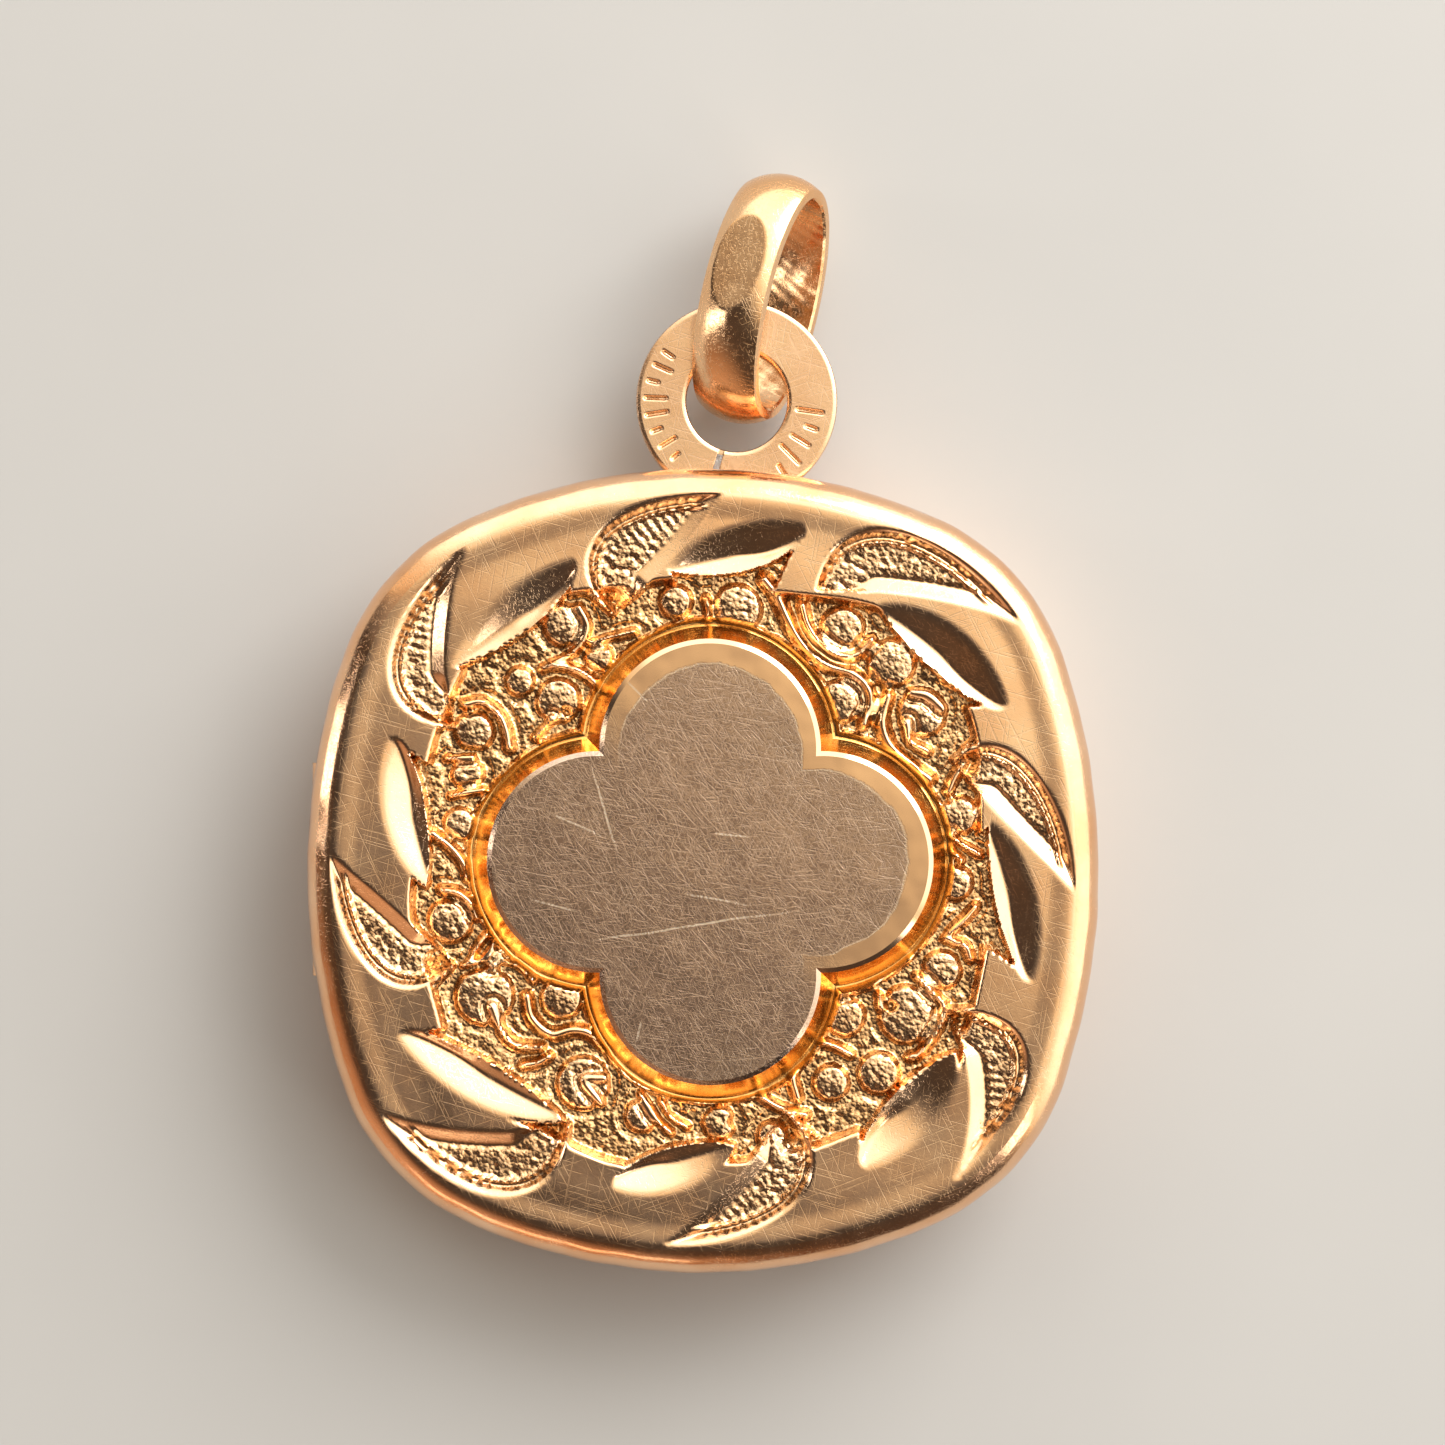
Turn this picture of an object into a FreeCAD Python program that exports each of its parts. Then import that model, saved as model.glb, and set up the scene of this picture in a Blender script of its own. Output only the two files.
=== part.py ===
"""Gold picture locket: a hinged cushion-shaped case with a hanging ring and a loose bail.

The case lies on its back: +Z is the outward side of the chased front, +Y points to the
hanging ring, and the origin is the middle of the flat back. Lengths are in millimetres.
"""
import FreeCAD, Part
import math
import os
import Sketcher

TINY = 1e-4
CORNERS = ((1, 1), (-1, 1), (-1, -1), (1, -1))
PIECES_ROUND = 8  # leaves of each kind, and bosses, round the front

DIMENSIONS = (
    # Outline of the front half: four long arcs joined by four corner arcs.
    ("half_width", 11.0, "middle to left or right edge"),
    ("half_height", 11.175, "middle to top or bottom edge"),
    ("corner_centre", 3.854, "middle to a corner arc's centre, along X and along Y"),
    ("corner_radius", 6.5, "corner arc of the outline"),
    # Heights above the flat back.
    ("back_thickness", 0.45, "sheet of the back"),
    ("back_height", 2.47, "top of the back half's wall"),
    ("front_base", 2.53, "underside of the front half's rim"),
    ("front_height", 2.2, "height of the front half's rim"),
    ("plate_base", 3.95, "underside of the chased front"),
    ("plate_thickness", 0.73, "chased front, from its underside to its smooth field"),
    # Insets of the walls from the outline.
    ("rim_wall", 1.15, "inner wall of the front rim"),
    ("plate_inset", 0.72, "edge of the chased front, which sits in a rebate of the rim"),
    ("back_inset", 0.45, "outer wall of the back half"),
    ("flange_outer", 1.2, "outer wall of the closing flange"),
    ("flange_inner", 1.45, "inner wall of the closing flange"),
    ("flange_base", 0.46, "foot of the closing flange"),
    ("flange_height", 2.76, "height of the closing flange"),
    # Rounding of the two walls.
    ("top_roll", 0.5, "outer top edge of the front rim"),
    ("bottom_roll", 1.05, "outer bottom edge of the front rim"),
    ("inner_roll", 0.05, "inner top edge of the front rim"),
    ("back_roll", 0.7, "outer bottom edge of the back wall"),
    ("back_lip", 0.4, "outer top edge of the back wall"),
    # Relief of the chased front: the leaves and the wreath are sunk below the field.
    ("wreath_inset", 3.15, "edge of the sunk wreath round the cartouche"),
    ("wreath_depth", 0.5, "depth of the wreath's ground under the field"),
    ("cartouche_x", 0.2, "cartouche's middle, right of the case's middle"),
    ("cartouche_y", 0.27, "cartouche's middle, above the case's middle"),
    ("lobe_offset", 3.1, "cartouche's middle to a lobe's centre"),
    ("lobe_radius", 3.05, "radius of a lobe"),
    ("cartouche_height", 0.53, "height of the cartouche over the wreath's ground"),
    ("cartouche_bevel", 0.12, "bevel round the cartouche"),
    ("leaf_depth", 0.25, "depth of a leaf under the field"),
    ("leaf_root", 7.3, "middle to a crescent leaf's root"),
    ("leaf_tip", 10.1, "middle to a crescent leaf's tip"),
    ("leaf_turn", 24.0, "angle from a leaf's root to its tip"),
    ("leaf_bow", 1.5, "bow of a crescent leaf's outer edge"),
    ("leaf_hollow", 0.2, "bow of a crescent leaf's inner edge"),
    ("leaf_start", 112.0, "angle of the first crescent leaf's root"),
    ("small_root", 7.6, "middle to a small leaf's root"),
    ("small_tip", 9.2, "middle to a small leaf's tip"),
    ("small_bow", 0.7, "bow of a small leaf's outer edge"),
    ("small_hollow", 0.1, "bow of a small leaf's inner edge"),
    ("small_start", 139.0, "angle of the first small leaf's root"),
    ("boss_ring", 6.55, "middle to the small bosses"),
    ("boss_radius", 0.6, "radius of a small boss"),
    ("boss_height", 0.25, "height of a small boss over the wreath's ground"),
    # Hinge.
    ("hinge_inset", 0.45, "hinge line, inside the outline"),
    ("hinge_level", 2.5, "height of the hinge line"),
    ("barrel_radius", 0.42, "knuckle"),
    ("recess_radius", 0.5, "room for the knuckles in both walls"),
    ("hinge_length", 6.0, "length of the row of knuckles"),
    ("knuckle_count", 5, "knuckles in the row"),
    ("knuckle_gap", 0.04, "gap between two knuckles"),
    ("pin_radius", 0.2, "hinge pin"),
    ("pin_clearance", 0.03, "pin's clearance in the front half's knuckles"),
    ("foot_left", 0.3, "knuckle's foot, outward of the hinge line"),
    ("foot_right", 0.15, "knuckle's foot, inward of the hinge line"),
    ("foot_height", 0.72, "top of a knuckle's foot above the hinge line"),
    # Closing parts.
    ("bead_radius", 0.15, "snap bead"),
    ("bead_length", 3.0, "length of the snap bead"),
    ("bead_level", 2.75, "height of the snap bead"),
    ("bead_proud", 0.09, "how far the bead stands out of the flange"),
    ("slot_depth", 0.15, "bead's slot in the front rim"),
    ("slot_length", 3.4, "length of the bead's slot"),
    ("slot_height", 0.5, "height of the bead's slot"),
    ("lip_length", 3.2, "length of the nail lip"),
    ("lip_outer", 0.14, "nail lip's edge, inside the outline"),
    ("lip_inner", 0.95, "nail lip's root, inside the outline"),
    ("lip_base", 2.56, "underside of the nail lip"),
    ("lip_thickness", 0.3, "thickness of the nail lip"),
    # Pictures.
    ("frame_lip", 2.3, "inner edge of both picture frames"),
    ("front_frame_wall", 1.42, "inner wall of the front picture frame"),
    ("front_frame_base", 3.52, "underside of the front picture frame"),
    ("front_frame_height", 0.42, "height of the front picture frame"),
    ("frame_lip_thickness", 0.1, "lip of the front picture frame"),
    ("back_frame_outer", 1.48, "outer wall of the back picture frame"),
    ("back_frame_wall", 1.7, "inner wall of the back picture frame"),
    ("back_frame_height", 1.65, "height of the back picture frame"),
    ("back_lip_thickness", 0.15, "lip of the back picture frame"),
    ("picture_gap", 0.03, "play round a glass or a card"),
    ("picture_play", 0.01, "play between the layers of a picture"),
    ("glass_thickness", 0.18, "cover glass"),
    ("card_thickness", 0.1, "picture card"),
    ("filler_thickness", 1.08, "pad behind the back picture"),
    # Hanging ring.
    ("ring_x", 0.94, "ring's centre, right of the case's middle"),
    ("ring_y", 13.15, "ring's centre, above the case's middle"),
    ("ring_outer", 2.83, "outer radius of the ring"),
    ("ring_hole", 1.42, "radius of the ring's hole"),
    ("ring_base", 1.835, "underside of the ring"),
    ("ring_thickness", 0.55, "thickness of the ring"),
    ("ring_edge", 0.12, "rounding of the ring's edges"),
    ("seam_angle", 17.0, "seam of the ring, left of straight down"),
    ("seam_width", 0.16, "width of the seam's solder"),
    ("seam_depth", 0.15, "depth of the seam's solder"),
    ("seam_margin", 0.16, "seam's ends to the hole's edge and to the foot"),
    ("foot_solder_length", 2.4, "solder under the ring's foot"),
    ("foot_solder_radius", 0.28, "radius of that solder"),
    # Bail.
    ("bail_half_length", 3.58, "half the bail's long axis, outside"),
    ("bail_half_width", 2.05, "half the bail's short axis, outside"),
    ("bail_band", 2.0, "width of the bail's band"),
    ("bail_edge", 0.3, "thickness of the band at its edges"),
    ("bail_crown", 0.3, "height of the band's dome over its edges"),
    ("bail_reach", 2.98, "ring's centre to the bail's middle"),
    ("bail_lean", 13.4, "lean of the long axis to the right"),
    ("bail_roll", 26.0, "roll about the long axis"),
)

doc = FreeCAD.newDocument("Locket")
sheet = doc.addObject("Spreadsheet::Sheet", "Dims")
for row, (alias, size, meaning) in enumerate(DIMENSIONS, start=1):
    sheet.set(f"A{row}", meaning)
    sheet.set(f"B{row}", str(size))
    sheet.setAlias(f"B{row}", alias)
doc.recompute()

parts = []


# ---------------------------------------------------------------- shared helpers

def value(expression):
    """Number that an expression on the sheet stands for now."""
    return float(sheet.evalExpression(expression))


def new_body(name):
    body = doc.addObject("PartDesign::Body", name)
    body.Label = name
    parts.append(body)
    return body


def place(item, x="0", y="0", z="0", turn=None):
    """Puts a part at three expressions, after the turn that it gets."""
    item.Placement = FreeCAD.Placement(FreeCAD.Vector(), turn or FreeCAD.Rotation())
    item.setExpression("Placement.Base.x", x)
    item.setExpression("Placement.Base.y", y)
    item.setExpression("Placement.Base.z", z)


def origin_feature(body, role):
    return next(item for item in body.Origin.OriginFeatures if item.Role == role)


def new_sketch(body, name, role="XY_Plane", offset="0"):
    """Empty sketch on one of the body's own planes, moved along its normal."""
    sketch = body.newObject("Sketcher::SketchObject", name)
    sketch.AttachmentSupport = [(origin_feature(body, role), "")]
    sketch.MapMode = "FlatFace"
    sketch.setExpression("AttachmentOffset.Base.z", offset)
    return sketch


def constrain(sketch, kind, *where, size):
    """Adds a dimension and ties it to an expression."""
    index = sketch.addConstraint(Sketcher.Constraint(kind, *where, value(size)))
    sketch.setExpression(f"Constraints[{index}]", size)


def add_circle(sketch, x, y, radius):
    centre = FreeCAD.Vector(value(x), value(y), 0)
    circle = sketch.addGeometry(Part.Circle(centre, FreeCAD.Vector(0, 0, 1), value(radius)), False)
    constrain(sketch, "DistanceX", -1, 1, circle, 3, size=x)
    constrain(sketch, "DistanceY", -1, 1, circle, 3, size=y)
    constrain(sketch, "Radius", circle, size=radius)


def add_polygon(sketch, points):
    """Closed outline of straight lines through points given as pairs of expressions."""
    corners = [FreeCAD.Vector(value(x), value(y), 0) for x, y in points]
    first = sketch.GeometryCount
    count = len(corners)
    for index, corner in enumerate(corners):
        sketch.addGeometry(Part.LineSegment(corner, corners[(index + 1) % count]), False)
    for index, (x, y) in enumerate(points):
        line = first + index
        sketch.addConstraint(
            Sketcher.Constraint("Coincident", line, 2, first + (index + 1) % count, 1))
        constrain(sketch, "DistanceX", -1, 1, line, 1, size=x)
        constrain(sketch, "DistanceY", -1, 1, line, 1, size=y)


def long_arc_radius(half):
    """Radius of the long arc whose crown is at half and that meets the corner arcs."""
    centre = "Dims.corner_centre"
    corner = "Dims.corner_radius"
    return f"(({half} - {centre})^2 + {centre}^2 - {corner}^2) / (2 * ({half} - {centre} - {corner}))"


def add_cushion(sketch, inset, x="0", y="0"):
    """Case outline moved inward by inset: eight tangent arcs round the point x, y."""
    middle = FreeCAD.Vector(value(x), value(y), 0)
    corner = value("Dims.corner_centre")
    corner_radius = f"Dims.corner_radius - ({inset})"
    side = value(long_arc_radius("Dims.half_width"))
    end = value(long_arc_radius("Dims.half_height"))
    side_centre = value("Dims.half_width") - side
    end_centre = value("Dims.half_height") - end
    side_meets = math.atan2(corner, corner - side_centre)
    end_meets = math.atan2(corner - end_centre, corner)
    quarter = math.pi / 2
    long_arcs = (
        (FreeCAD.Vector(side_centre, 0, 0), "Dims.half_width", -side_meets, side_meets),
        (FreeCAD.Vector(0, end_centre, 0), "Dims.half_height", end_meets, 2 * quarter - end_meets),
        (FreeCAD.Vector(-side_centre, 0, 0), "Dims.half_width",
         2 * quarter - side_meets, 2 * quarter + side_meets),
        (FreeCAD.Vector(0, -end_centre, 0), "Dims.half_height",
         2 * quarter + end_meets, 4 * quarter - end_meets),
    )
    first = sketch.GeometryCount
    up = FreeCAD.Vector(0, 0, 1)
    for index, (centre, half, start, stop) in enumerate(long_arcs):
        radius = f"{long_arc_radius(half)} - ({inset})"
        circle = Part.Circle(middle + centre, up, value(radius))
        sketch.addGeometry(Part.ArcOfCircle(circle, start, stop), False)
        sign_x, sign_y = CORNERS[index]
        corner_middle = middle + FreeCAD.Vector(sign_x * corner, sign_y * corner, 0)
        next_start = long_arcs[(index + 1) % 4][2] + (4 * quarter if index == 3 else 0)
        circle = Part.Circle(corner_middle, up, value(corner_radius))
        sketch.addGeometry(Part.ArcOfCircle(circle, stop, next_start), False)
    for index, (centre, half, start, stop) in enumerate(long_arcs):
        long_arc = first + 2 * index
        corner_arc = long_arc + 1
        following = first + (2 * index + 2) % 8
        sketch.addConstraint(Sketcher.Constraint("Tangent", long_arc, 2, corner_arc, 1))
        sketch.addConstraint(Sketcher.Constraint("Tangent", corner_arc, 2, following, 1))
        sign_x, sign_y = CORNERS[index]
        constrain(sketch, "DistanceX", -1, 1, corner_arc, 3, size=f"{x} + {sign_x} * Dims.corner_centre")
        constrain(sketch, "DistanceY", -1, 1, corner_arc, 3, size=f"{y} + {sign_y} * Dims.corner_centre")
        constrain(sketch, "Radius", corner_arc, size=corner_radius)
        constrain(sketch, "Radius", long_arc, size=f"{long_arc_radius(half)} - ({inset})")


def add_feature(body, kind, sketch, length, symmetric=False, through=False, reverse=False):
    """Pad or pocket of a sketch; a cut has to take material away."""
    before = body.Tip.Shape.Volume if body.Tip and not body.Tip.Shape.isNull() else 0.0
    feature = body.newObject(f"PartDesign::{kind}", f"{sketch.Name}_{kind}")
    feature.Profile = sketch
    feature.Reversed = reverse
    if symmetric:
        feature.SideType = "Symmetric"
    if through:
        feature.Type = "ThroughAll"
    else:
        feature.setExpression("Length", length)
    doc.recompute()
    gained = feature.Shape.Volume - before
    if (kind == "Pad") != (gained > 0):
        raise RuntimeError(f"{feature.Name} changes the volume by {gained:.5f}")
    return feature


def edges_of_face(feature, height, outer=True):
    """Names of the edges round the flat face at a height, outside or inside it."""
    shape = feature.Shape
    for face in shape.Faces:
        box = face.BoundBox
        if abs(box.ZMin - height) < TINY and abs(box.ZMax - height) < TINY:
            wires = [wire for wire in face.Wires if wire.isSame(face.OuterWire) == outer]
            wanted = [edge for wire in wires for edge in wire.Edges]
            return [f"Edge{index}" for index, edge in enumerate(shape.Edges, start=1)
                    if any(edge.isSame(other) for other in wanted)]
    raise RuntimeError(f"{feature.Name} has no flat face at {height}")


def soften(body, kind, feature, height, size, outer=True):
    """Fillet or chamfer all round one flat face of a feature."""
    edge_names = edges_of_face(feature, value(height), outer)
    edging = body.newObject(f"PartDesign::{kind}", f"{body.Name}_{kind}")
    edging.Base = (feature, edge_names)
    edging.setExpression("Radius" if kind == "Fillet" else "Size", size)
    doc.recompute()
    return edging


def cushion_plate(name, inset, base, thickness):
    """Flat plate with the outline of the case."""
    body = new_body(name)
    place(body, z=base)
    sketch = new_sketch(body, f"{name}_outline")
    add_cushion(sketch, inset)
    add_feature(body, "Pad", sketch, thickness)
    return body


def cushion_band(name, outer, inner, base, tall):
    """Upright band between two insets of the outline of the case."""
    body = new_body(name)
    place(body, z=base)
    sketch = new_sketch(body, f"{name}_outline")
    add_cushion(sketch, outer)
    add_cushion(sketch, inner)
    add_feature(body, "Pad", sketch, tall)
    return body


def cut_hinge_recess(body, level):
    """Round recess along the hinge line, for the other half's knuckles."""
    sketch = new_sketch(body, f"{body.Name}_recess", "XZ_Plane")
    add_circle(sketch, "Dims.hinge_inset - Dims.half_width", level, "Dims.recess_radius")
    add_feature(body, "Pocket", sketch, "Dims.hinge_length + 2 * Dims.knuckle_gap", symmetric=True)


# ---------------------------------------------------------------- back half

def make_back_frame():
    body = cushion_band("back_frame", "Dims.back_inset", "Dims.flange_outer", "0", "Dims.back_height")
    rounded = soften(body, "Fillet", body.Tip, "0", "Dims.back_roll")
    soften(body, "Fillet", rounded, "Dims.back_height", "Dims.back_lip")
    cut_hinge_recess(body, "Dims.hinge_level")


def make_snap_bead():
    bead = doc.addObject("Part::Cylinder", "snap_bead")
    bead.Label = "snap_bead"
    bead.setExpression("Radius", "Dims.bead_radius")
    bead.setExpression("Height", "Dims.bead_length")
    along_y = FreeCAD.Rotation(FreeCAD.Vector(1, 0, 0), -90)
    place(bead, "Dims.half_width - Dims.flange_outer + Dims.bead_proud - Dims.bead_radius",
          "-Dims.bead_length / 2", "Dims.bead_level", along_y)
    parts.append(bead)


# ---------------------------------------------------------------- front half

def make_front_frame():
    body = cushion_band("front_frame", "0", "Dims.rim_wall", "Dims.front_base", "Dims.front_height")
    rebate = new_sketch(body, "front_frame_rebate", offset="Dims.front_height")
    add_cushion(rebate, "Dims.plate_inset")
    stepped = add_feature(body, "Pocket", rebate, "Dims.front_base + Dims.front_height - Dims.plate_base")
    rounded = soften(body, "Fillet", stepped, "0", "Dims.bottom_roll")
    rounded = soften(body, "Fillet", rounded, "Dims.front_height", "Dims.top_roll")
    soften(body, "Fillet", rounded, "Dims.front_height", "Dims.inner_roll", outer=False)
    cut_hinge_recess(body, "Dims.hinge_level - Dims.front_base")
    slot = new_sketch(body, "front_frame_bead_slot")
    wall = "Dims.half_width - Dims.rim_wall"
    add_polygon(slot, (
        (f"{wall} - Dims.slot_depth", "-Dims.slot_length / 2"),
        (f"{wall} + Dims.slot_depth", "-Dims.slot_length / 2"),
        (f"{wall} + Dims.slot_depth", "Dims.slot_length / 2"),
        (f"{wall} - Dims.slot_depth", "Dims.slot_length / 2"),
    ))
    add_feature(body, "Pocket", slot, "Dims.slot_height", reverse=True)


def make_thumb_lip():
    """Nail lip: a flat tongue with a bowed edge, under the rim opposite the hinge."""
    body = new_body("thumb_lip")
    place(body, "Dims.half_width", "0", "Dims.lip_base")
    sketch = new_sketch(body, "thumb_lip_outline")
    half = value("Dims.lip_length") / 2
    crown = FreeCAD.Vector(-value("Dims.lip_outer"), 0, 0)
    top = FreeCAD.Vector(-value("Dims.lip_inner"), half, 0)
    bottom = FreeCAD.Vector(-value("Dims.lip_inner"), -half, 0)
    bow = sketch.addGeometry(Part.Arc(bottom, crown, top), False)
    chord = sketch.addGeometry(Part.LineSegment(top, bottom), False)
    sketch.addConstraint(Sketcher.Constraint("Coincident", bow, 2, chord, 1))
    sketch.addConstraint(Sketcher.Constraint("Coincident", chord, 2, bow, 1))
    sketch.addConstraint(Sketcher.Constraint("Symmetric", chord, 1, chord, 2, -1))
    constrain(sketch, "DistanceX", -1, 1, chord, 1, size="-Dims.lip_inner")
    constrain(sketch, "DistanceY", chord, 2, chord, 1, size="Dims.lip_length")
    rise = "(Dims.lip_inner - Dims.lip_outer)"
    constrain(sketch, "Radius", bow, size=f"((Dims.lip_length / 2)^2 + {rise}^2) / (2 * {rise})")
    add_feature(body, "Pad", sketch, "Dims.lip_thickness")


def add_crescent(sketch, kind):
    """Leaf between two arcs that both run from its root to its tip, bowed outward."""
    root, tip, bow, hollow, angle = (
        value(f"Dims.{kind}_{size}") for size in ("root", "tip", "bow", "hollow", "start"))
    up = FreeCAD.Vector(0, 0, 1)
    start = FreeCAD.Rotation(up, angle)
    stop = FreeCAD.Rotation(up, angle - value("Dims.leaf_turn"))
    root_point = start.multVec(FreeCAD.Vector(root, 0, 0))
    tip_point = stop.multVec(FreeCAD.Vector(tip, 0, 0))
    chord = tip_point - root_point
    outward = FreeCAD.Vector(-chord.y, chord.x, 0).normalize()
    middle = (root_point + tip_point) / 2
    sketch.addGeometry(Part.Arc(root_point, middle + outward * bow, tip_point), False)
    sketch.addGeometry(Part.Arc(tip_point, middle + outward * hollow, root_point), False)
    for index in range(sketch.GeometryCount):
        sketch.addConstraint(Sketcher.Constraint("Block", index))


def repeat_round(body, feature, count):
    """Polar pattern of a relief feature about the case's middle."""
    pattern = body.newObject("PartDesign::PolarPattern", f"{feature.Name}_round")
    pattern.Originals = [feature]
    pattern.Axis = (origin_feature(body, "Z_Axis"), [""])
    pattern.Angle = 360
    pattern.Occurrences = count
    body.Tip = pattern
    doc.recompute()


def make_front_plate():
    """Chased front: eight sunk leaves of each kind, and a sunk wreath of bosses and a cartouche."""
    body = cushion_plate("front_plate", "Dims.plate_inset", "Dims.plate_base", "Dims.plate_thickness")
    field = "Dims.plate_thickness"
    ground = f"{field} - Dims.wreath_depth"
    for kind in ("leaf", "small"):
        leaf = new_sketch(body, f"{kind}_outline", offset=field)
        add_crescent(leaf, kind)
        repeat_round(body, add_feature(body, "Pocket", leaf, "Dims.leaf_depth"), PIECES_ROUND)
    wreath = new_sketch(body, "wreath", offset=field)
    add_cushion(wreath, "Dims.wreath_inset")
    add_feature(body, "Pocket", wreath, "Dims.wreath_depth")
    boss = new_sketch(body, "boss", offset=ground)
    add_circle(boss, "0", "Dims.boss_ring", "Dims.boss_radius")
    repeat_round(body, add_feature(body, "Pad", boss, "Dims.boss_height"), PIECES_ROUND)
    add_cartouche(body, ground)


def quatrefoil_sketch(body, name, level, inset):
    """Four lobes whose arcs meet in four cusps, moved inward by inset."""
    sketch = new_sketch(body, name, offset=level)
    offset = value("Dims.lobe_offset")
    radius = value(f"Dims.lobe_radius - ({inset})")
    # Where two neighbouring lobes cross on the diagonal, seen from a lobe's centre.
    cusp = (offset + math.sqrt(2 * radius ** 2 - offset ** 2)) / 2
    reach = math.atan2(cusp, cusp - offset)
    middle = FreeCAD.Vector(value("Dims.cartouche_x"), value("Dims.cartouche_y"), 0)
    up = FreeCAD.Vector(0, 0, 1)
    for lobe in range(4):
        heading = lobe * math.pi / 2
        centre = middle + FreeCAD.Vector(math.cos(heading), math.sin(heading), 0) * offset
        circle = Part.Circle(centre, up, radius)
        sketch.addGeometry(Part.ArcOfCircle(circle, heading - reach, heading + reach), False)
    steps = (("1", "0"), ("0", "1"), ("-1", "0"), ("0", "-1"))
    for lobe, (right, upward) in enumerate(steps):
        sketch.addConstraint(Sketcher.Constraint("Coincident", lobe, 2, (lobe + 1) % 4, 1))
        constrain(sketch, "DistanceX", -1, 1, lobe, 3,
                  size=f"Dims.cartouche_x + {right} * Dims.lobe_offset")
        constrain(sketch, "DistanceY", -1, 1, lobe, 3,
                  size=f"Dims.cartouche_y + {upward} * Dims.lobe_offset")
        constrain(sketch, "Radius", lobe, size=f"Dims.lobe_radius - ({inset})")
    return sketch


def add_cartouche(body, level):
    """Raised quatrefoil with upright sides and a bevel round its flat top."""
    shoulder = "Dims.cartouche_height - Dims.cartouche_bevel"
    foot = quatrefoil_sketch(body, "cartouche_foot", level, "0")
    add_feature(body, "Pad", foot, shoulder)
    low = quatrefoil_sketch(body, "cartouche_shoulder", f"{level} + {shoulder}", "0")
    top = quatrefoil_sketch(body, "cartouche_top", f"{level} + Dims.cartouche_height",
                            "Dims.cartouche_bevel")
    bevel = body.newObject("PartDesign::AdditiveLoft", "cartouche_bevel")
    bevel.Profile = low
    bevel.Sections = [top]
    bevel.Ruled = True
    doc.recompute()


# ---------------------------------------------------------------- hinge

def make_knuckle(name, place_in_row, of_front):
    """Barrel with a foot soldered into its own half's wall; five of them share a pin."""
    body = new_body(name)
    length = "(Dims.hinge_length / Dims.knuckle_count)"
    upside_down = FreeCAD.Rotation(FreeCAD.Vector(0, 1, 0), 0 if of_front else 180)
    first_end = f"-Dims.hinge_length / 2 + {place_in_row} * {length} + Dims.knuckle_gap / 2"
    place(body, "Dims.hinge_inset - Dims.half_width", first_end, "Dims.hinge_level", upside_down)
    sketch = new_sketch(body, f"{name}_profile", "XZ_Plane")
    radius = value("Dims.barrel_radius")
    left = -value("Dims.foot_left")
    right = value("Dims.foot_right")
    top = value("Dims.foot_height")
    right_low = FreeCAD.Vector(right, math.sqrt(radius ** 2 - right ** 2), 0)
    right_top = FreeCAD.Vector(right, top, 0)
    left_top = FreeCAD.Vector(left, top, 0)
    left_low = FreeCAD.Vector(left, math.sqrt(radius ** 2 - left ** 2), 0)
    barrel = sketch.addGeometry(Part.Arc(left_low, FreeCAD.Vector(0, -radius, 0), right_low), False)
    inner_side = sketch.addGeometry(Part.LineSegment(right_low, right_top), False)
    top_side = sketch.addGeometry(Part.LineSegment(right_top, left_top), False)
    outer_side = sketch.addGeometry(Part.LineSegment(left_top, left_low), False)
    ring = (barrel, inner_side, top_side, outer_side)
    for index, line in enumerate(ring):
        sketch.addConstraint(Sketcher.Constraint("Coincident", line, 2, ring[(index + 1) % 4], 1))
    sketch.addConstraint(Sketcher.Constraint("Vertical", inner_side))
    sketch.addConstraint(Sketcher.Constraint("Horizontal", top_side))
    sketch.addConstraint(Sketcher.Constraint("Vertical", outer_side))
    sketch.addConstraint(Sketcher.Constraint("Coincident", barrel, 3, -1, 1))
    constrain(sketch, "Radius", barrel, size="Dims.barrel_radius")
    constrain(sketch, "DistanceX", -1, 1, inner_side, 2, size="Dims.foot_right")
    constrain(sketch, "DistanceX", -1, 1, outer_side, 1, size="-Dims.foot_left")
    constrain(sketch, "DistanceY", -1, 1, top_side, 1, size="Dims.foot_height")
    add_circle(sketch, "0", "0", "Dims.pin_radius + Dims.pin_clearance" if of_front else "Dims.pin_radius")
    # The XZ plane's normal is -Y, so the pad is reversed to grow along +Y.
    add_feature(body, "Pad", sketch, f"{length} - Dims.knuckle_gap", reverse=True)


def make_hinge_pin():
    pin = doc.addObject("Part::Cylinder", "hinge_pin")
    pin.Label = "hinge_pin"
    pin.setExpression("Radius", "Dims.pin_radius")
    pin.setExpression("Height", "Dims.hinge_length")
    along_y = FreeCAD.Rotation(FreeCAD.Vector(1, 0, 0), -90)
    place(pin, "Dims.hinge_inset - Dims.half_width", "-Dims.hinge_length / 2",
          "Dims.hinge_level", along_y)
    parts.append(pin)


# ---------------------------------------------------------------- pictures

def make_front_picture():
    """Frame, glass and card inside the chased front, the glass facing down."""
    body = cushion_band("front_picture_frame", "Dims.flange_outer", "Dims.frame_lip",
                        "Dims.front_frame_base", "Dims.front_frame_height")
    seat = new_sketch(body, "front_picture_frame_seat", offset="Dims.frame_lip_thickness")
    add_cushion(seat, "Dims.front_frame_wall")
    depth = "Dims.front_frame_height - Dims.frame_lip_thickness"
    add_feature(body, "Pocket", seat, depth, reverse=True)
    edge = "Dims.front_frame_wall + Dims.picture_gap"
    glass = "Dims.front_frame_base + Dims.frame_lip_thickness + Dims.picture_play"
    cushion_plate("front_glass", edge, glass, "Dims.glass_thickness")
    cushion_plate("front_picture_card", edge, f"{glass} + Dims.glass_thickness + Dims.picture_play",
                  "Dims.card_thickness")


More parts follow.
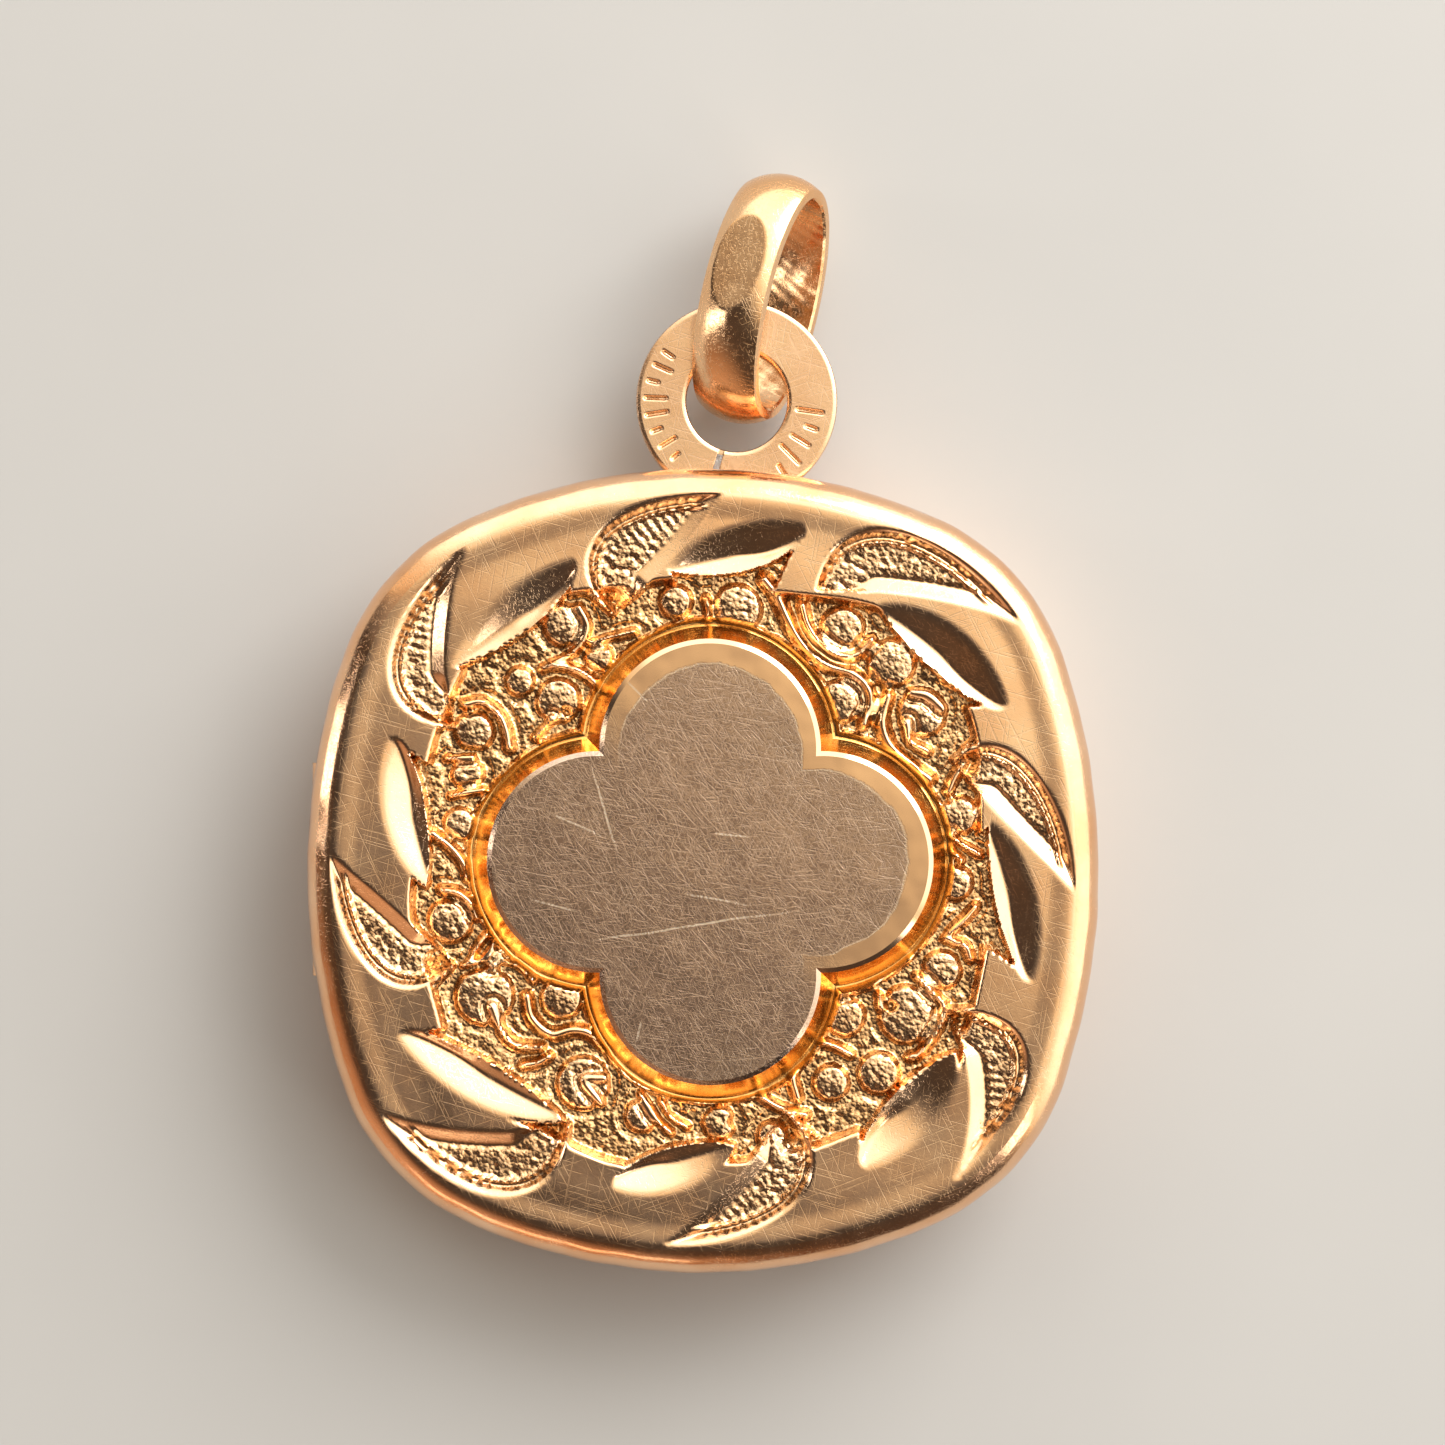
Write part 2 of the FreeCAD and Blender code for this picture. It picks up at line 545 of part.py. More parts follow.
def make_back_picture():
    """Frame, glass, card and filler pad inside the back half, the glass facing up."""
    body = cushion_band("back_picture_frame", "Dims.back_frame_outer", "Dims.frame_lip",
                        "Dims.flange_base", "Dims.back_frame_height")
    seat = new_sketch(body, "back_picture_frame_seat")
    add_cushion(seat, "Dims.back_frame_wall")
    depth = "Dims.back_frame_height - Dims.back_lip_thickness"
    add_feature(body, "Pocket", seat, depth, reverse=True)
    edge = "Dims.back_frame_wall + Dims.picture_gap"
    card = "Dims.flange_base + Dims.filler_thickness + Dims.picture_play"
    glass = f"{card} + Dims.card_thickness + Dims.picture_play"
    cushion_plate("back_filler", edge, "Dims.flange_base", "Dims.filler_thickness")
    cushion_plate("back_picture_card", edge, card, "Dims.card_thickness")
    cushion_plate("back_glass", edge, glass, "Dims.glass_thickness")


# ---------------------------------------------------------------- ring and bail

def make_hanging_ring():
    """Flat washer whose foot is cut to the curve of the back half's wall."""
    body = new_body("hanging_ring")
    place(body, "Dims.ring_x", "Dims.ring_y", "Dims.ring_base")
    sketch = new_sketch(body, "ring_outline")
    add_circle(sketch, "0", "0", "Dims.ring_outer")
    add_circle(sketch, "0", "0", "Dims.ring_hole")
    tip = add_feature(body, "Pad", sketch, "Dims.ring_thickness")
    for height in ("Dims.ring_thickness", "0"):
        tip = soften(body, "Fillet", tip, height, "Dims.ring_edge")
        tip = soften(body, "Fillet", tip, height, "Dims.ring_edge", outer=False)
    foot = new_sketch(body, "ring_foot")
    wall = long_arc_radius("Dims.half_height")
    add_circle(foot, "-Dims.ring_x", f"Dims.half_height - {wall} - Dims.ring_y",
               f"{wall} - Dims.back_inset")
    add_feature(body, "Pocket", foot, "0", through=True, symmetric=True)
    seam = new_sketch(body, "ring_seam_groove", offset="Dims.ring_thickness")
    add_polygon(seam, seam_corners())
    add_feature(body, "Pocket", seam, "Dims.seam_depth")


def seam_corners():
    """Corners of the ring's seam: a strip from the hole's side towards the foot."""
    down = "(270 deg - Dims.seam_angle * 1 deg)"
    ends = ("(Dims.ring_hole + Dims.seam_margin)", "(Dims.ring_outer - 3 * Dims.seam_margin)")
    corners = []
    for end, side in ((0, -1), (1, -1), (1, 1), (0, 1)):
        across = f"({side} * Dims.seam_width / 2)"
        corners.append((f"{ends[end]} * cos{down} - {across} * sin{down}",
                        f"{ends[end]} * sin{down} + {across} * cos{down}"))
    return corners


def make_ring_solder():
    """Solder that fills the ring's seam, and the fillet of solder under its foot."""
    seam = new_body("ring_seam_solder")
    place(seam, "Dims.ring_x", "Dims.ring_y", "Dims.ring_base")
    sketch = new_sketch(seam, "seam_solder_outline", offset="Dims.ring_thickness - Dims.seam_depth")
    add_polygon(sketch, seam_corners())
    add_feature(seam, "Pad", sketch, "Dims.seam_depth")
    foot = doc.addObject("Part::Cylinder", "ring_foot_solder")
    foot.Label = "ring_foot_solder"
    foot.setExpression("Radius", "Dims.foot_solder_radius")
    foot.setExpression("Height", "Dims.foot_solder_length")
    along_x = FreeCAD.Rotation(FreeCAD.Vector(0, 1, 0), 90)
    place(foot, "Dims.ring_x - Dims.foot_solder_length / 2",
          "Dims.half_height - Dims.back_inset", "Dims.ring_base", along_x)
    parts.append(foot)


def bail_rotation():
    """Long axis leaning right of +Y, then the loop rolled about that axis."""
    lean = FreeCAD.Rotation(FreeCAD.Vector(0, 0, 1), -value("Dims.bail_lean"))
    roll = FreeCAD.Rotation(FreeCAD.Vector(0, 1, 0), -value("Dims.bail_roll"))
    return lean.multiply(roll)


def make_bail():
    """Oval loop in the local YZ plane, swept from a band that is domed outside."""
    body = new_body("bail")
    lean = "(Dims.bail_lean * 1 deg)"
    place(body, f"Dims.ring_x + Dims.bail_reach * sin{lean}",
          f"Dims.ring_y + Dims.bail_reach * cos{lean}",
          "Dims.ring_base + Dims.ring_thickness / 2", bail_rotation())
    path = new_sketch(body, "bail_path", "YZ_Plane")
    long_half = "(Dims.bail_half_length - Dims.bail_edge - Dims.bail_crown)"
    short_half = "(Dims.bail_half_width - Dims.bail_edge - Dims.bail_crown)"
    oval = Part.Ellipse(FreeCAD.Vector(), value(long_half), value(short_half))
    path.addGeometry(oval, False)
    path.addConstraint(Sketcher.Constraint("Block", 0))
    section = new_sketch(body, "bail_section", "XY_Plane")
    half = value("Dims.bail_band") / 2
    inner = value(long_half)
    edge = inner + value("Dims.bail_edge")
    crown = edge + value("Dims.bail_crown")
    inner_left = FreeCAD.Vector(-half, inner, 0)
    inner_right = FreeCAD.Vector(half, inner, 0)
    outer_right = FreeCAD.Vector(half, edge, 0)
    outer_left = FreeCAD.Vector(-half, edge, 0)
    inside = section.addGeometry(Part.LineSegment(inner_left, inner_right), False)
    right = section.addGeometry(Part.LineSegment(inner_right, outer_right), False)
    dome = section.addGeometry(Part.Arc(outer_right, FreeCAD.Vector(0, crown, 0), outer_left), False)
    left = section.addGeometry(Part.LineSegment(outer_left, inner_left), False)
    for line in (inside, right, dome, left):
        section.addConstraint(Sketcher.Constraint("Block", line))
    pipe = body.newObject("PartDesign::AdditivePipe", "bail_band_sweep")
    pipe.Profile = section
    pipe.Spine = (path, ["Edge1"])
    pipe.Mode = "Frenet"
    doc.recompute()


make_back_frame()
cushion_plate("back_plate", "Dims.flange_outer", "0", "Dims.back_thickness")
cushion_band("closing_flange", "Dims.flange_outer", "Dims.flange_inner",
             "Dims.flange_base", "Dims.flange_height")
make_snap_bead()
make_front_frame()
make_front_plate()
make_thumb_lip()
make_knuckle("back_knuckle_bottom", 0, of_front=False)
make_knuckle("front_knuckle_bottom", 1, of_front=True)
make_knuckle("back_knuckle_middle", 2, of_front=False)
make_knuckle("front_knuckle_top", 3, of_front=True)
make_knuckle("back_knuckle_top", 4, of_front=False)
make_hinge_pin()
make_front_picture()
make_back_picture()
make_hanging_ring()
make_ring_solder()
make_bail()
doc.recompute()

for item in doc.Objects:
    if "Invalid" in item.State or "Error" in item.State:
        raise RuntimeError(f"{item.Name} is {item.State}")
os.makedirs("parts", exist_ok=True)
for part in parts:
    shape = part.Shape
    if shape.isNull() or not shape.isValid() or shape.Volume <= 0:
        raise RuntimeError(f"{part.Label} has no sound shape")
    shape.exportStep(f"parts/{part.Label}.step")
    box = shape.BoundBox
    spans = ((box.XMin, box.XMax), (box.YMin, box.YMax), (box.ZMin, box.ZMax))
    extent = " ".join(f"{low:7.2f} to {high:6.2f}" for low, high in spans)
    print(f"{part.Label:24s} {len(shape.Solids)} solid {shape.Volume:9.3f} mm3 {extent}")
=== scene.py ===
"""Looks of the gold picture locket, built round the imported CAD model.

Shapes are worked out in millimetres and scaled to metres when a mesh is made. The case
lies on its back: +Z is out of the chased front and +Y points to the hanging ring.
"""
import math

import bpy
import numpy as np
from mathutils import Matrix, Vector


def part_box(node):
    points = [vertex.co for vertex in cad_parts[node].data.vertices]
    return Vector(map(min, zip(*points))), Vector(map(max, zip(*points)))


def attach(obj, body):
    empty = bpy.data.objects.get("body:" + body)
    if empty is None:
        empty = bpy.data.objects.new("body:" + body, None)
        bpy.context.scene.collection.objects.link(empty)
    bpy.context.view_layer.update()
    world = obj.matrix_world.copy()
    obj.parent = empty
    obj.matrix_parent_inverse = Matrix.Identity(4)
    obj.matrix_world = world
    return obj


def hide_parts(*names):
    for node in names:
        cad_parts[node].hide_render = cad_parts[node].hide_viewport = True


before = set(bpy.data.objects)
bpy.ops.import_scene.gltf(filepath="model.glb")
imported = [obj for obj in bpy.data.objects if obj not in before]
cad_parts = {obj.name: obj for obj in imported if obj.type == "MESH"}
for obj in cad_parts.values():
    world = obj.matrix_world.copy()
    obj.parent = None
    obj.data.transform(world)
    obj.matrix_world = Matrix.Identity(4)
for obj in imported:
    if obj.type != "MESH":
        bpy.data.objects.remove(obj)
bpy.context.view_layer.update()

MM = 0.001
TURN = 2 * math.pi


def node_box(name):
    """Lowest and highest corner of a CAD node, in millimetres."""
    low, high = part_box(name)
    return np.array(low) / MM, np.array(high) / MM


# ---------------------------------------------------------------- the case's outline

RIM_LOW, RIM_HIGH = node_box("front_frame")
BACK_HIGH = node_box("back_frame")[1]
HALF_WIDTH = RIM_HIGH[0]
HALF_HEIGHT = RIM_HIGH[1]
CORNER = 3.854          # middle to a corner arc's centre, along X and along Y
CORNER_RADIUS = 6.5
BACK_INSET = HALF_WIDTH - BACK_HIGH[0]
FLANGE_INSET = 1.2      # outside of the closing flange, and of both picture frames
RIM_INNER = 1.15        # inside of the front rim
PLATE_INSET = 0.72      # edge of the chased front


def long_arc_radius(half):
    """Radius of the long arc with its crown at half that meets the corner arcs."""
    gap = half - CORNER
    return (gap ** 2 + CORNER ** 2 - CORNER_RADIUS ** 2) / (2 * (gap - CORNER_RADIUS))


SIDE_RADIUS = long_arc_radius(HALF_WIDTH)
END_RADIUS = long_arc_radius(HALF_HEIGHT)


def nearest_arc(x, y):
    """Centre and radius of the outline's arc that each point belongs to."""
    across, along = np.abs(x), np.abs(y)
    side = HALF_WIDTH - SIDE_RADIUS
    end = HALF_HEIGHT - END_RADIUS
    on_side = along * (CORNER - side) < CORNER * (across - side)
    on_end = across * (CORNER - end) < CORNER * (along - end)
    centre_x = np.where(on_side, side, np.where(on_end, 0.0, CORNER)) * np.sign(x)
    centre_y = np.where(on_side, 0.0, np.where(on_end, end, CORNER)) * np.sign(y)
    radius = np.where(on_side, SIDE_RADIUS, np.where(on_end, END_RADIUS, CORNER_RADIUS))
    return centre_x, centre_y, radius


def inset_of(x, y):
    """How far inside the outline each point lies."""
    centre_x, centre_y, radius = nearest_arc(x, y)
    return radius - np.hypot(x - centre_x, y - centre_y)


def ray_to_inset(angles, inset, middle=(0.0, 0.0)):
    """Points of the outline moved inward by inset, along rays from the middle."""
    near = np.full(len(angles), 4.0)
    far = np.full(len(angles), 14.0)
    for _ in range(40):
        reach = (near + far) / 2
        inside = inset_of(middle[0] + reach * np.cos(angles), middle[1] + reach * np.sin(angles)) > inset
        near = np.where(inside, reach, near)
        far = np.where(inside, far, reach)
    return middle[0] + near * np.cos(angles), middle[1] + near * np.sin(angles)


# ---------------------------------------------------------------- mesh helpers

def smooth(value, low, high):
    """Smooth step from 0 at low to 1 at high."""
    step = np.clip((value - low) / (high - low), 0.0, 1.0)
    return step * step * (3 - 2 * step)


def hump(distance, width):
    """Rounded bump, 1 where the distance is 0 and 0 from width on."""
    return 0.5 + 0.5 * np.cos(math.pi * np.clip(distance / width, -1.0, 1.0))


def arc(middle, radii, start, stop, steps):
    """Points of an elliptic arc, from start to stop in degrees."""
    angles = np.radians(np.linspace(start, stop, steps))
    return [(middle[0] + radii[0] * math.cos(a), middle[1] + radii[1] * math.sin(a)) for a in angles]


def make_piece(name, vertices, faces, body, material, replaces=(), sharp=40.0, values=None):
    """Smooth-shaded mesh piece that rides on a body, with its own per-point values."""
    mesh = bpy.data.meshes.new(name)
    mesh.from_pydata((np.asarray(vertices) * MM).tolist(), [], faces)
    mesh.update()
    mesh.polygons.foreach_set("use_smooth", [True] * len(mesh.polygons))
    mesh.set_sharp_from_angle(angle=math.radians(sharp))
    for title, data in (values or {}).items():
        layer = mesh.attributes.new(name=title, type="FLOAT", domain="POINT")
        layer.data.foreach_set("value", np.asarray(data, dtype=np.float32).ravel())
    piece = bpy.data.objects.new(name, mesh)
    bpy.context.scene.collection.objects.link(piece)
    mesh.materials.append(material)
    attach(piece, body)
    if replaces:
        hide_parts(*replaces)
    return piece


def grid_faces(rows, columns, close_rows=False, close_columns=True):
    """Quads of a grid whose point row, column has the index row * columns + column."""
    row = np.arange(rows if close_rows else rows - 1)
    column = np.arange(columns if close_columns else columns - 1)
    row, column = np.meshgrid(row, column, indexing="ij")
    next_row = (row + 1) % rows
    next_column = (column + 1) % columns
    quads = np.stack([row * columns + column, row * columns + next_column,
                      next_row * columns + next_column, next_row * columns + column], axis=-1)
    return quads.reshape(-1, 4).tolist()


def fan(ring, hub, flip=False):
    """Triangles from a ring of points to the point at its hub."""
    following = ring[1:] + ring[:1]
    return [(b, a, hub) if flip else (a, b, hub) for a, b in zip(ring, following)]


# ---------------------------------------------------------------- material helpers

class Graph:
    """Short way to write a node tree."""

    def __init__(self, tree):
        self.tree = tree
        tree.nodes.clear()

    def add(self, kind, inputs=None, **settings):
        item = self.tree.nodes.new(kind)
        for name, setting in settings.items():
            setattr(item, name, setting)
        for key, source in (inputs or {}).items():
            if isinstance(source, bpy.types.NodeSocket):
                self.tree.links.new(source, item.inputs[key])
            elif source is not None:
                item.inputs[key].default_value = source
        return item

    def math(self, operation, first, second=None, clamp=False):
        item = self.add("ShaderNodeMath", {0: first, 1: second}, operation=operation, use_clamp=clamp)
        return item.outputs[0]

    def ramp(self, factor, stops):
        """Colour ramp through pairs of place and grey level or colour."""
        item = self.add("ShaderNodeValToRGB", {0: factor})
        elements = item.color_ramp.elements
        while len(elements) < len(stops):
            elements.new(0.5)
        for element, (place, shade) in zip(elements, stops):
            element.position = place
            element.color = (*shade, 1.0) if isinstance(shade, tuple) else (shade, shade, shade, 1.0)
        return item.outputs[0]

    def mix(self, factor, first, second, blend="MIX"):
        """Mix of two colours, each a socket or a tuple."""
        item = self.add("ShaderNodeMix", data_type="RGBA", blend_type=blend)
        for index, source in ((0, factor), (6, first), (7, second)):
            if isinstance(source, bpy.types.NodeSocket):
                self.tree.links.new(source, item.inputs[index])
            else:
                item.inputs[index].default_value = (*source, 1.0) if isinstance(source, tuple) else source
        return item.outputs[2]

    def place(self, turn=0.0, stretch=(1.0, 1.0, 1.0)):
        """Object coordinates in millimetres, turned about Z and stretched."""
        source = self.add("ShaderNodeTexCoord").outputs["Object"]
        scale = [1 / (MM * size) for size in stretch]
        turned = self.add("ShaderNodeMapping", {"Vector": source, "Rotation": (0.0, 0.0, turn)})
        return self.add("ShaderNodeMapping", {"Vector": turned.outputs[0], "Scale": scale}).outputs[0]

    def noise(self, where, scale, detail=3.0, rough=0.5):
        item = self.add("ShaderNodeTexNoise",
                        {"Vector": where, "Scale": scale, "Detail": detail, "Roughness": rough})
        return item.outputs[0]

    def value(self, title):
        """One of the piece's per-point values."""
        return self.add("ShaderNodeAttribute", attribute_name=title).outputs["Fac"]

    def scratches(self, count, length, width, threshold=0.62):
        """Fine straight scratches in several directions: 1 on a scratch, 0 beside it."""
        total = None
        for index in range(count):
            turn = math.pi * (index + 0.35) / count + 0.4 * math.sin(3.0 * index)
            lines = self.noise(self.place(turn, (length, width, width)), 1.0, 1.0)
            marks = self.ramp(lines, ((threshold, 0.0), (threshold + 0.05, 1.0)))
            total = marks if total is None else self.math("MAXIMUM", total, marks)
        return total


def new_material(name):
    material = bpy.data.materials.new(name)
    material.use_nodes = True
    return material, Graph(material.node_tree)


def finish_material(graph, shader):
    graph.add("ShaderNodeOutputMaterial", {"Surface": shader.outputs[0]})


def finish_metal(graph, colour, rough, height):
    """Metal shader with its colour, roughness and fine height in millimetres."""
    bump = graph.add("ShaderNodeBump", {"Strength": 1.0, "Distance": MM, "Height": height})
    shader = graph.add("ShaderNodeBsdfPrincipled", {
        "Base Color": colour, "Metallic": 1.0, "Roughness": rough, "Normal": bump.outputs[0]})
    finish_material(graph, shader)


def gold(name, bright, deep, gloss, satin, grain=0.0008, grain_size=0.09, scratch_depth=0.0008,
         relief=False):
    """Worn gold: colour drifts from bright to deep, roughness from gloss to satin."""
    material, graph = new_material(name)
    where = graph.place()
    clouds = graph.noise(where, 0.45, 4.0, 0.6)
    colour = graph.mix(graph.ramp(clouds, ((0.35, 0.0), (0.68, 1.0))), bright, deep)
    fine = graph.noise(where, 1 / grain_size, 3.0, 0.6)
    marks = graph.scratches(4, 1.6, 0.05, 0.64)
    patches = graph.ramp(graph.noise(where, 1.1, 5.0, 0.65), ((0.35, gloss), (0.7, satin)))
    rough = graph.math("ADD", patches, graph.math("MULTIPLY", fine, 0.04))
    rough = graph.math("ADD", rough, graph.math("MULTIPLY", marks, 0.08), clamp=True)
    height = graph.math("MULTIPLY", fine, grain)
    height = graph.math("SUBTRACT", height, graph.math("MULTIPLY", marks, scratch_depth))
    if relief:
        # The deeper orange mixed in by the hollow value is a painted bounce glow: the warm light gold
        # throws back and forth inside its hollows.
        hollow = graph.value("hollow")
        beaded = graph.value("beaded")
        smooth_part = graph.math("SUBTRACT", 1.0, graph.math("MULTIPLY", beaded, 0.45))
        tint = graph.math("MULTIPLY", hollow, smooth_part)
        colour = graph.mix(graph.math("MULTIPLY", tint, 0.9), colour, (0.88, 0.46, 0.13))
        # Darkens the beaded ground in scattered spots.
        spot_pattern = graph.ramp(graph.noise(where, 7.5, 2.0, 0.5), ((0.36, 0.30), (0.55, 1.0)))
        ground_dark_spots = graph.mix(graph.math("MULTIPLY", beaded, 0.75), (1.0, 1.0, 1.0), spot_pattern)
        colour = graph.mix(1.0, colour, ground_dark_spots, "MULTIPLY")
        rough = graph.math("ADD", rough, graph.math("MULTIPLY", beaded, 0.05), clamp=True)
        cells = graph.add("ShaderNodeTexVoronoi", {"Vector": where, "Scale": 9.0}, feature="F1")
        rise = graph.math("MULTIPLY", beaded, 0.018)
        domes = graph.math("MULTIPLY", graph.math("SUBTRACT", 0.6, cells.outputs[0]), rise)
        height = graph.math("ADD", height, domes)
    finish_metal(graph, colour, rough, height)
    return material


def long_scratch(graph, start, stop, wave):
    """One fine scratch between two places given in millimetres: 1 on it, 0 beside it."""
    source = graph.add("ShaderNodeTexCoord").outputs["Object"]
    heading = math.atan2(stop[1] - start[1], stop[0] - start[0])
    shift = (start[0] * MM, start[1] * MM, 0.0)
    local = graph.add("ShaderNodeMapping", {
        "Vector": source, "Location": shift, "Rotation": (0.0, 0.0, heading), "Scale": (MM, MM, MM)},
        vector_type="TEXTURE").outputs[0]
    parts = graph.add("ShaderNodeSeparateXYZ", {0: local})
    bend = graph.math("MULTIPLY", graph.math("SUBTRACT", graph.noise(local, 0.35, 1.0), 0.5), wave)
    off = graph.math("ABSOLUTE", graph.math("ADD", parts.outputs["Y"], bend))
    line = graph.ramp(off, ((0.018, 1.0), (0.036, 0.0)))
    along = graph.math("DIVIDE", parts.outputs["X"], math.dist(start, stop))
    ends = graph.ramp(along, ((0.0, 0.0), (0.15, 0.8), (0.6, 1.0), (1.0, 0.0)))
    return graph.math("MULTIPLY", line, ends)


def cartouche_gold():
    """Satin top of the cartouche, its gold darkened as painted shade, with short scratches all ways and a
    painted sheen and painted highlight line along its margin on the lit side.
    """
    material, graph = new_material("cartouche_satin")
    where = graph.place()
    edge = graph.value("edge")
    lit_side = graph.value("lit_side")
    clouds = graph.noise(where, 0.35, 4.0, 0.6)
    # Painted shade: the base colour is the same rose gold as the front, made far darker to stand for its
    # dull look face-on.
    colour = graph.mix(clouds, (0.54, 0.385, 0.285), (0.45, 0.32, 0.235))
    short = graph.scratches(6, 1.1, 0.07, 0.64)
    fine = graph.scratches(5, 0.40, 0.05, 0.58)
    wander = graph.math("ADD", edge, graph.math("MULTIPLY", graph.noise(where, 1.2, 4.0), 0.35))
    # Painted sheen along the margin and a painted highlight line at its inner edge, both only on the side
    # that faces the key light.
    painted_margin_sheen = graph.math("MULTIPLY", graph.ramp(wander, ((0.60, 1.0), (0.70, 0.0))), lit_side)
    line = graph.math("MULTIPLY", graph.ramp(wander, ((0.62, 0.0), (0.66, 0.8), (0.70, 0.0))), lit_side)
    worn = graph.math("MULTIPLY", graph.math("ADD", short, fine), graph.math("SUBTRACT", 1.0, painted_margin_sheen))
    colour = graph.mix(graph.math("MULTIPLY", worn, 0.12, clamp=True), colour, (0.98, 0.74, 0.55))
    colour = graph.mix(painted_margin_sheen, colour, (0.90, 0.60, 0.36))
    # The long scratches join the painted highlight line and are lightened with it.
    for start, stop, wave in LONG_SCRATCHES:
        line = graph.math("MAXIMUM", line, long_scratch(graph, start, stop, wave))
    colour = graph.mix(graph.math("MULTIPLY", line, 0.75), colour, (1.0, 0.82, 0.64))
    patches = graph.ramp(clouds, ((0.3, 0.10), (0.7, 0.14)))
    rough = graph.math("ADD", graph.math("MULTIPLY", worn, 0.07), patches)
    rough = graph.math("ADD", rough, graph.math("MULTIPLY", line, 0.12), clamp=True)
    height = graph.math("ADD", graph.math("MULTIPLY", worn, -0.0011),
                        graph.math("MULTIPLY", graph.noise(where, 0.5, 2.0), 0.02))
    finish_metal(graph, colour, rough, height)
    return material


def solder(name, bright, dark, rough_low, rough_high):
    """Grainy, half-tarnished solder."""
    material, graph = new_material(name)
    where = graph.place()
    grains = graph.noise(where, 7.0, 5.0, 0.7)
    colour = graph.mix(graph.ramp(grains, ((0.38, 0.0), (0.62, 1.0))), bright, dark)
    rough = graph.ramp(grains, ((0.35, rough_low), (0.65, rough_high)))
    height = graph.math("MULTIPLY", grains, 0.03)
    finish_metal(graph, colour, rough, height)
    return material


def cover_glass():
    """Thin clear glass with a few wipe marks."""
    material, graph = new_material("clear_glass")
    where = graph.place()
    wipes = graph.noise(graph.place(0.5, (4.0, 0.6, 0.6)), 1.0, 3.0)
    dust = graph.ramp(graph.noise(where, 6.0, 4.0, 0.7), ((0.62, 0.0), (0.75, 0.12)))
    rough = graph.math("ADD", graph.ramp(wipes, ((0.4, 0.01), (0.7, 0.07))), dust)
    tint = graph.mix(wipes, (0.97, 0.99, 0.98), (0.92, 0.96, 0.94))
    shader = graph.add("ShaderNodeBsdfPrincipled", {
        "Base Color": tint, "Roughness": rough, "IOR": 1.5, "Transmission Weight": 1.0})
    finish_material(graph, shader)
    return material


def paper(name, pale, dark, fibre):
    """Aged card: fibres, foxing spots and a soft tooth."""
    material, graph = new_material(name)
    where = graph.place()
    fibres = graph.noise(graph.place(0.7, (1.0, 0.12, 0.12)), fibre, 4.0, 0.6)
    spots = graph.ramp(graph.noise(where, 0.8, 5.0, 0.6), ((0.55, 0.0), (0.75, 0.7)))
    colour = graph.mix(spots, graph.mix(fibres, pale, dark), tuple(0.6 * part for part in dark))
    tooth = graph.noise(where, 9.0, 3.0)
    bump = graph.add("ShaderNodeBump", {
        "Strength": 0.6, "Distance": MM, "Height": graph.math("MULTIPLY", tooth, 0.02)})
    shader = graph.add("ShaderNodeBsdfPrincipled", {
        "Base Color": colour, "Roughness": graph.ramp(tooth, ((0.3, 0.75), (0.7, 0.95))),
        "Normal": bump.outputs[0]})
    finish_material(graph, shader)
    return material


# Long scratches on the cartouche: start, end and waviness.
LONG_SCRATCHES = (
    ((-3.30, -1.95), (3.05, -1.05), 0.30), ((-3.10, 2.95), (-2.30, 0.30), 0.15),
    ((-2.10, 5.25), (-1.45, 4.60), 0.05), ((-4.80, -0.75), (-3.30, -1.15), 0.10),
    ((-4.20, 1.60), (-2.70, 0.95), 0.10), ((0.30, 1.05), (1.35, 0.95), 0.05),
    ((-1.70, -4.10), (-1.85, -4.75), 0.05), ((-0.60, -0.60), (1.40, -0.95), 0.15),
)
ROSE = (0.94, 0.61, 0.38)
ROSE_DEEP = (0.88, 0.48, 0.25)
MATERIALS = {
    "chased": gold("chased_gold", (0.95, 0.66, 0.42), (0.91, 0.57, 0.33), 0.08, 0.16, relief=True),
    "cartouche": cartouche_gold(),
    # The cartouche's sloping wall gets a saturated orange gold: a painted bounce glow in the recess round
    # the cartouche.
    "wall": gold("wall_gold_painted_glow", (0.92, 0.52, 0.16), (0.84, 0.40, 0.09), 0.14, 0.26),
    "rose": gold("rose_gold", ROSE, ROSE_DEEP, 0.08, 0.20),
    "ring": gold("ring_gold", (0.86, 0.58, 0.36), (0.78, 0.48, 0.28), 0.18, 0.28, 0.002, 0.12, 0.0006),
    "bail": gold("bail_gold", (0.94, 0.62, 0.36), (0.88, 0.50, 0.24), 0.10, 0.24, 0.0015, 0.12, 0.0015),
    "gilt": gold("inner_gilt", (0.92, 0.72, 0.42), (0.86, 0.62, 0.32), 0.20, 0.34),
    "grey_solder": solder("grey_solder", (0.42, 0.41, 0.40), (0.20, 0.18, 0.17), 0.30, 0.55),
    "gold_solder": solder("gold_solder", (0.82, 0.58, 0.38), (0.62, 0.38, 0.22), 0.25, 0.45),
    "glass": cover_glass(),
    "card": paper("blank_card", (0.80, 0.74, 0.62), (0.70, 0.60, 0.45), 5.0),
    "pad": paper("filler_pad", (0.55, 0.45, 0.34), (0.42, 0.32, 0.22), 3.0),
}


# ---------------------------------------------------------------- chased front

PLATE_BASE = node_box("front_plate")[0][2]
RIM_TOP = RIM_HIGH[2]
FIELD = 4.71            # level of the smooth field between the leaves
GROUND = 4.13           # beaded ground of the wreath
WREATH_INSET = 3.15     # where the field ends and the wreath starts
RIM_CREST = 0.90        # crest of the rim, inside the outline
SHOULDER = 0.95         # height of the rounded shoulder outside the crest
RIM_FALL = 0.60         # crest of the rim to the level field
CARTOUCHE = (0.2, 0.27)
LOBE_OFFSET = 3.1
LOBE_RADIUS = 3.05
CARTOUCHE_TOP = 4.70
WALL_WIDTH = 0.42       # sloping wall round the cartouche
BOSS_EDGE = 0.20        # edge of a boss over the ground
BOSS_CROWN = 0.12       # crown of a boss over its edge
GRAIN_HEIGHT = 0.035    # height of one fine grain
DEEPEST_NOTCH = 0.42    # deepest cut of a smooth leaf

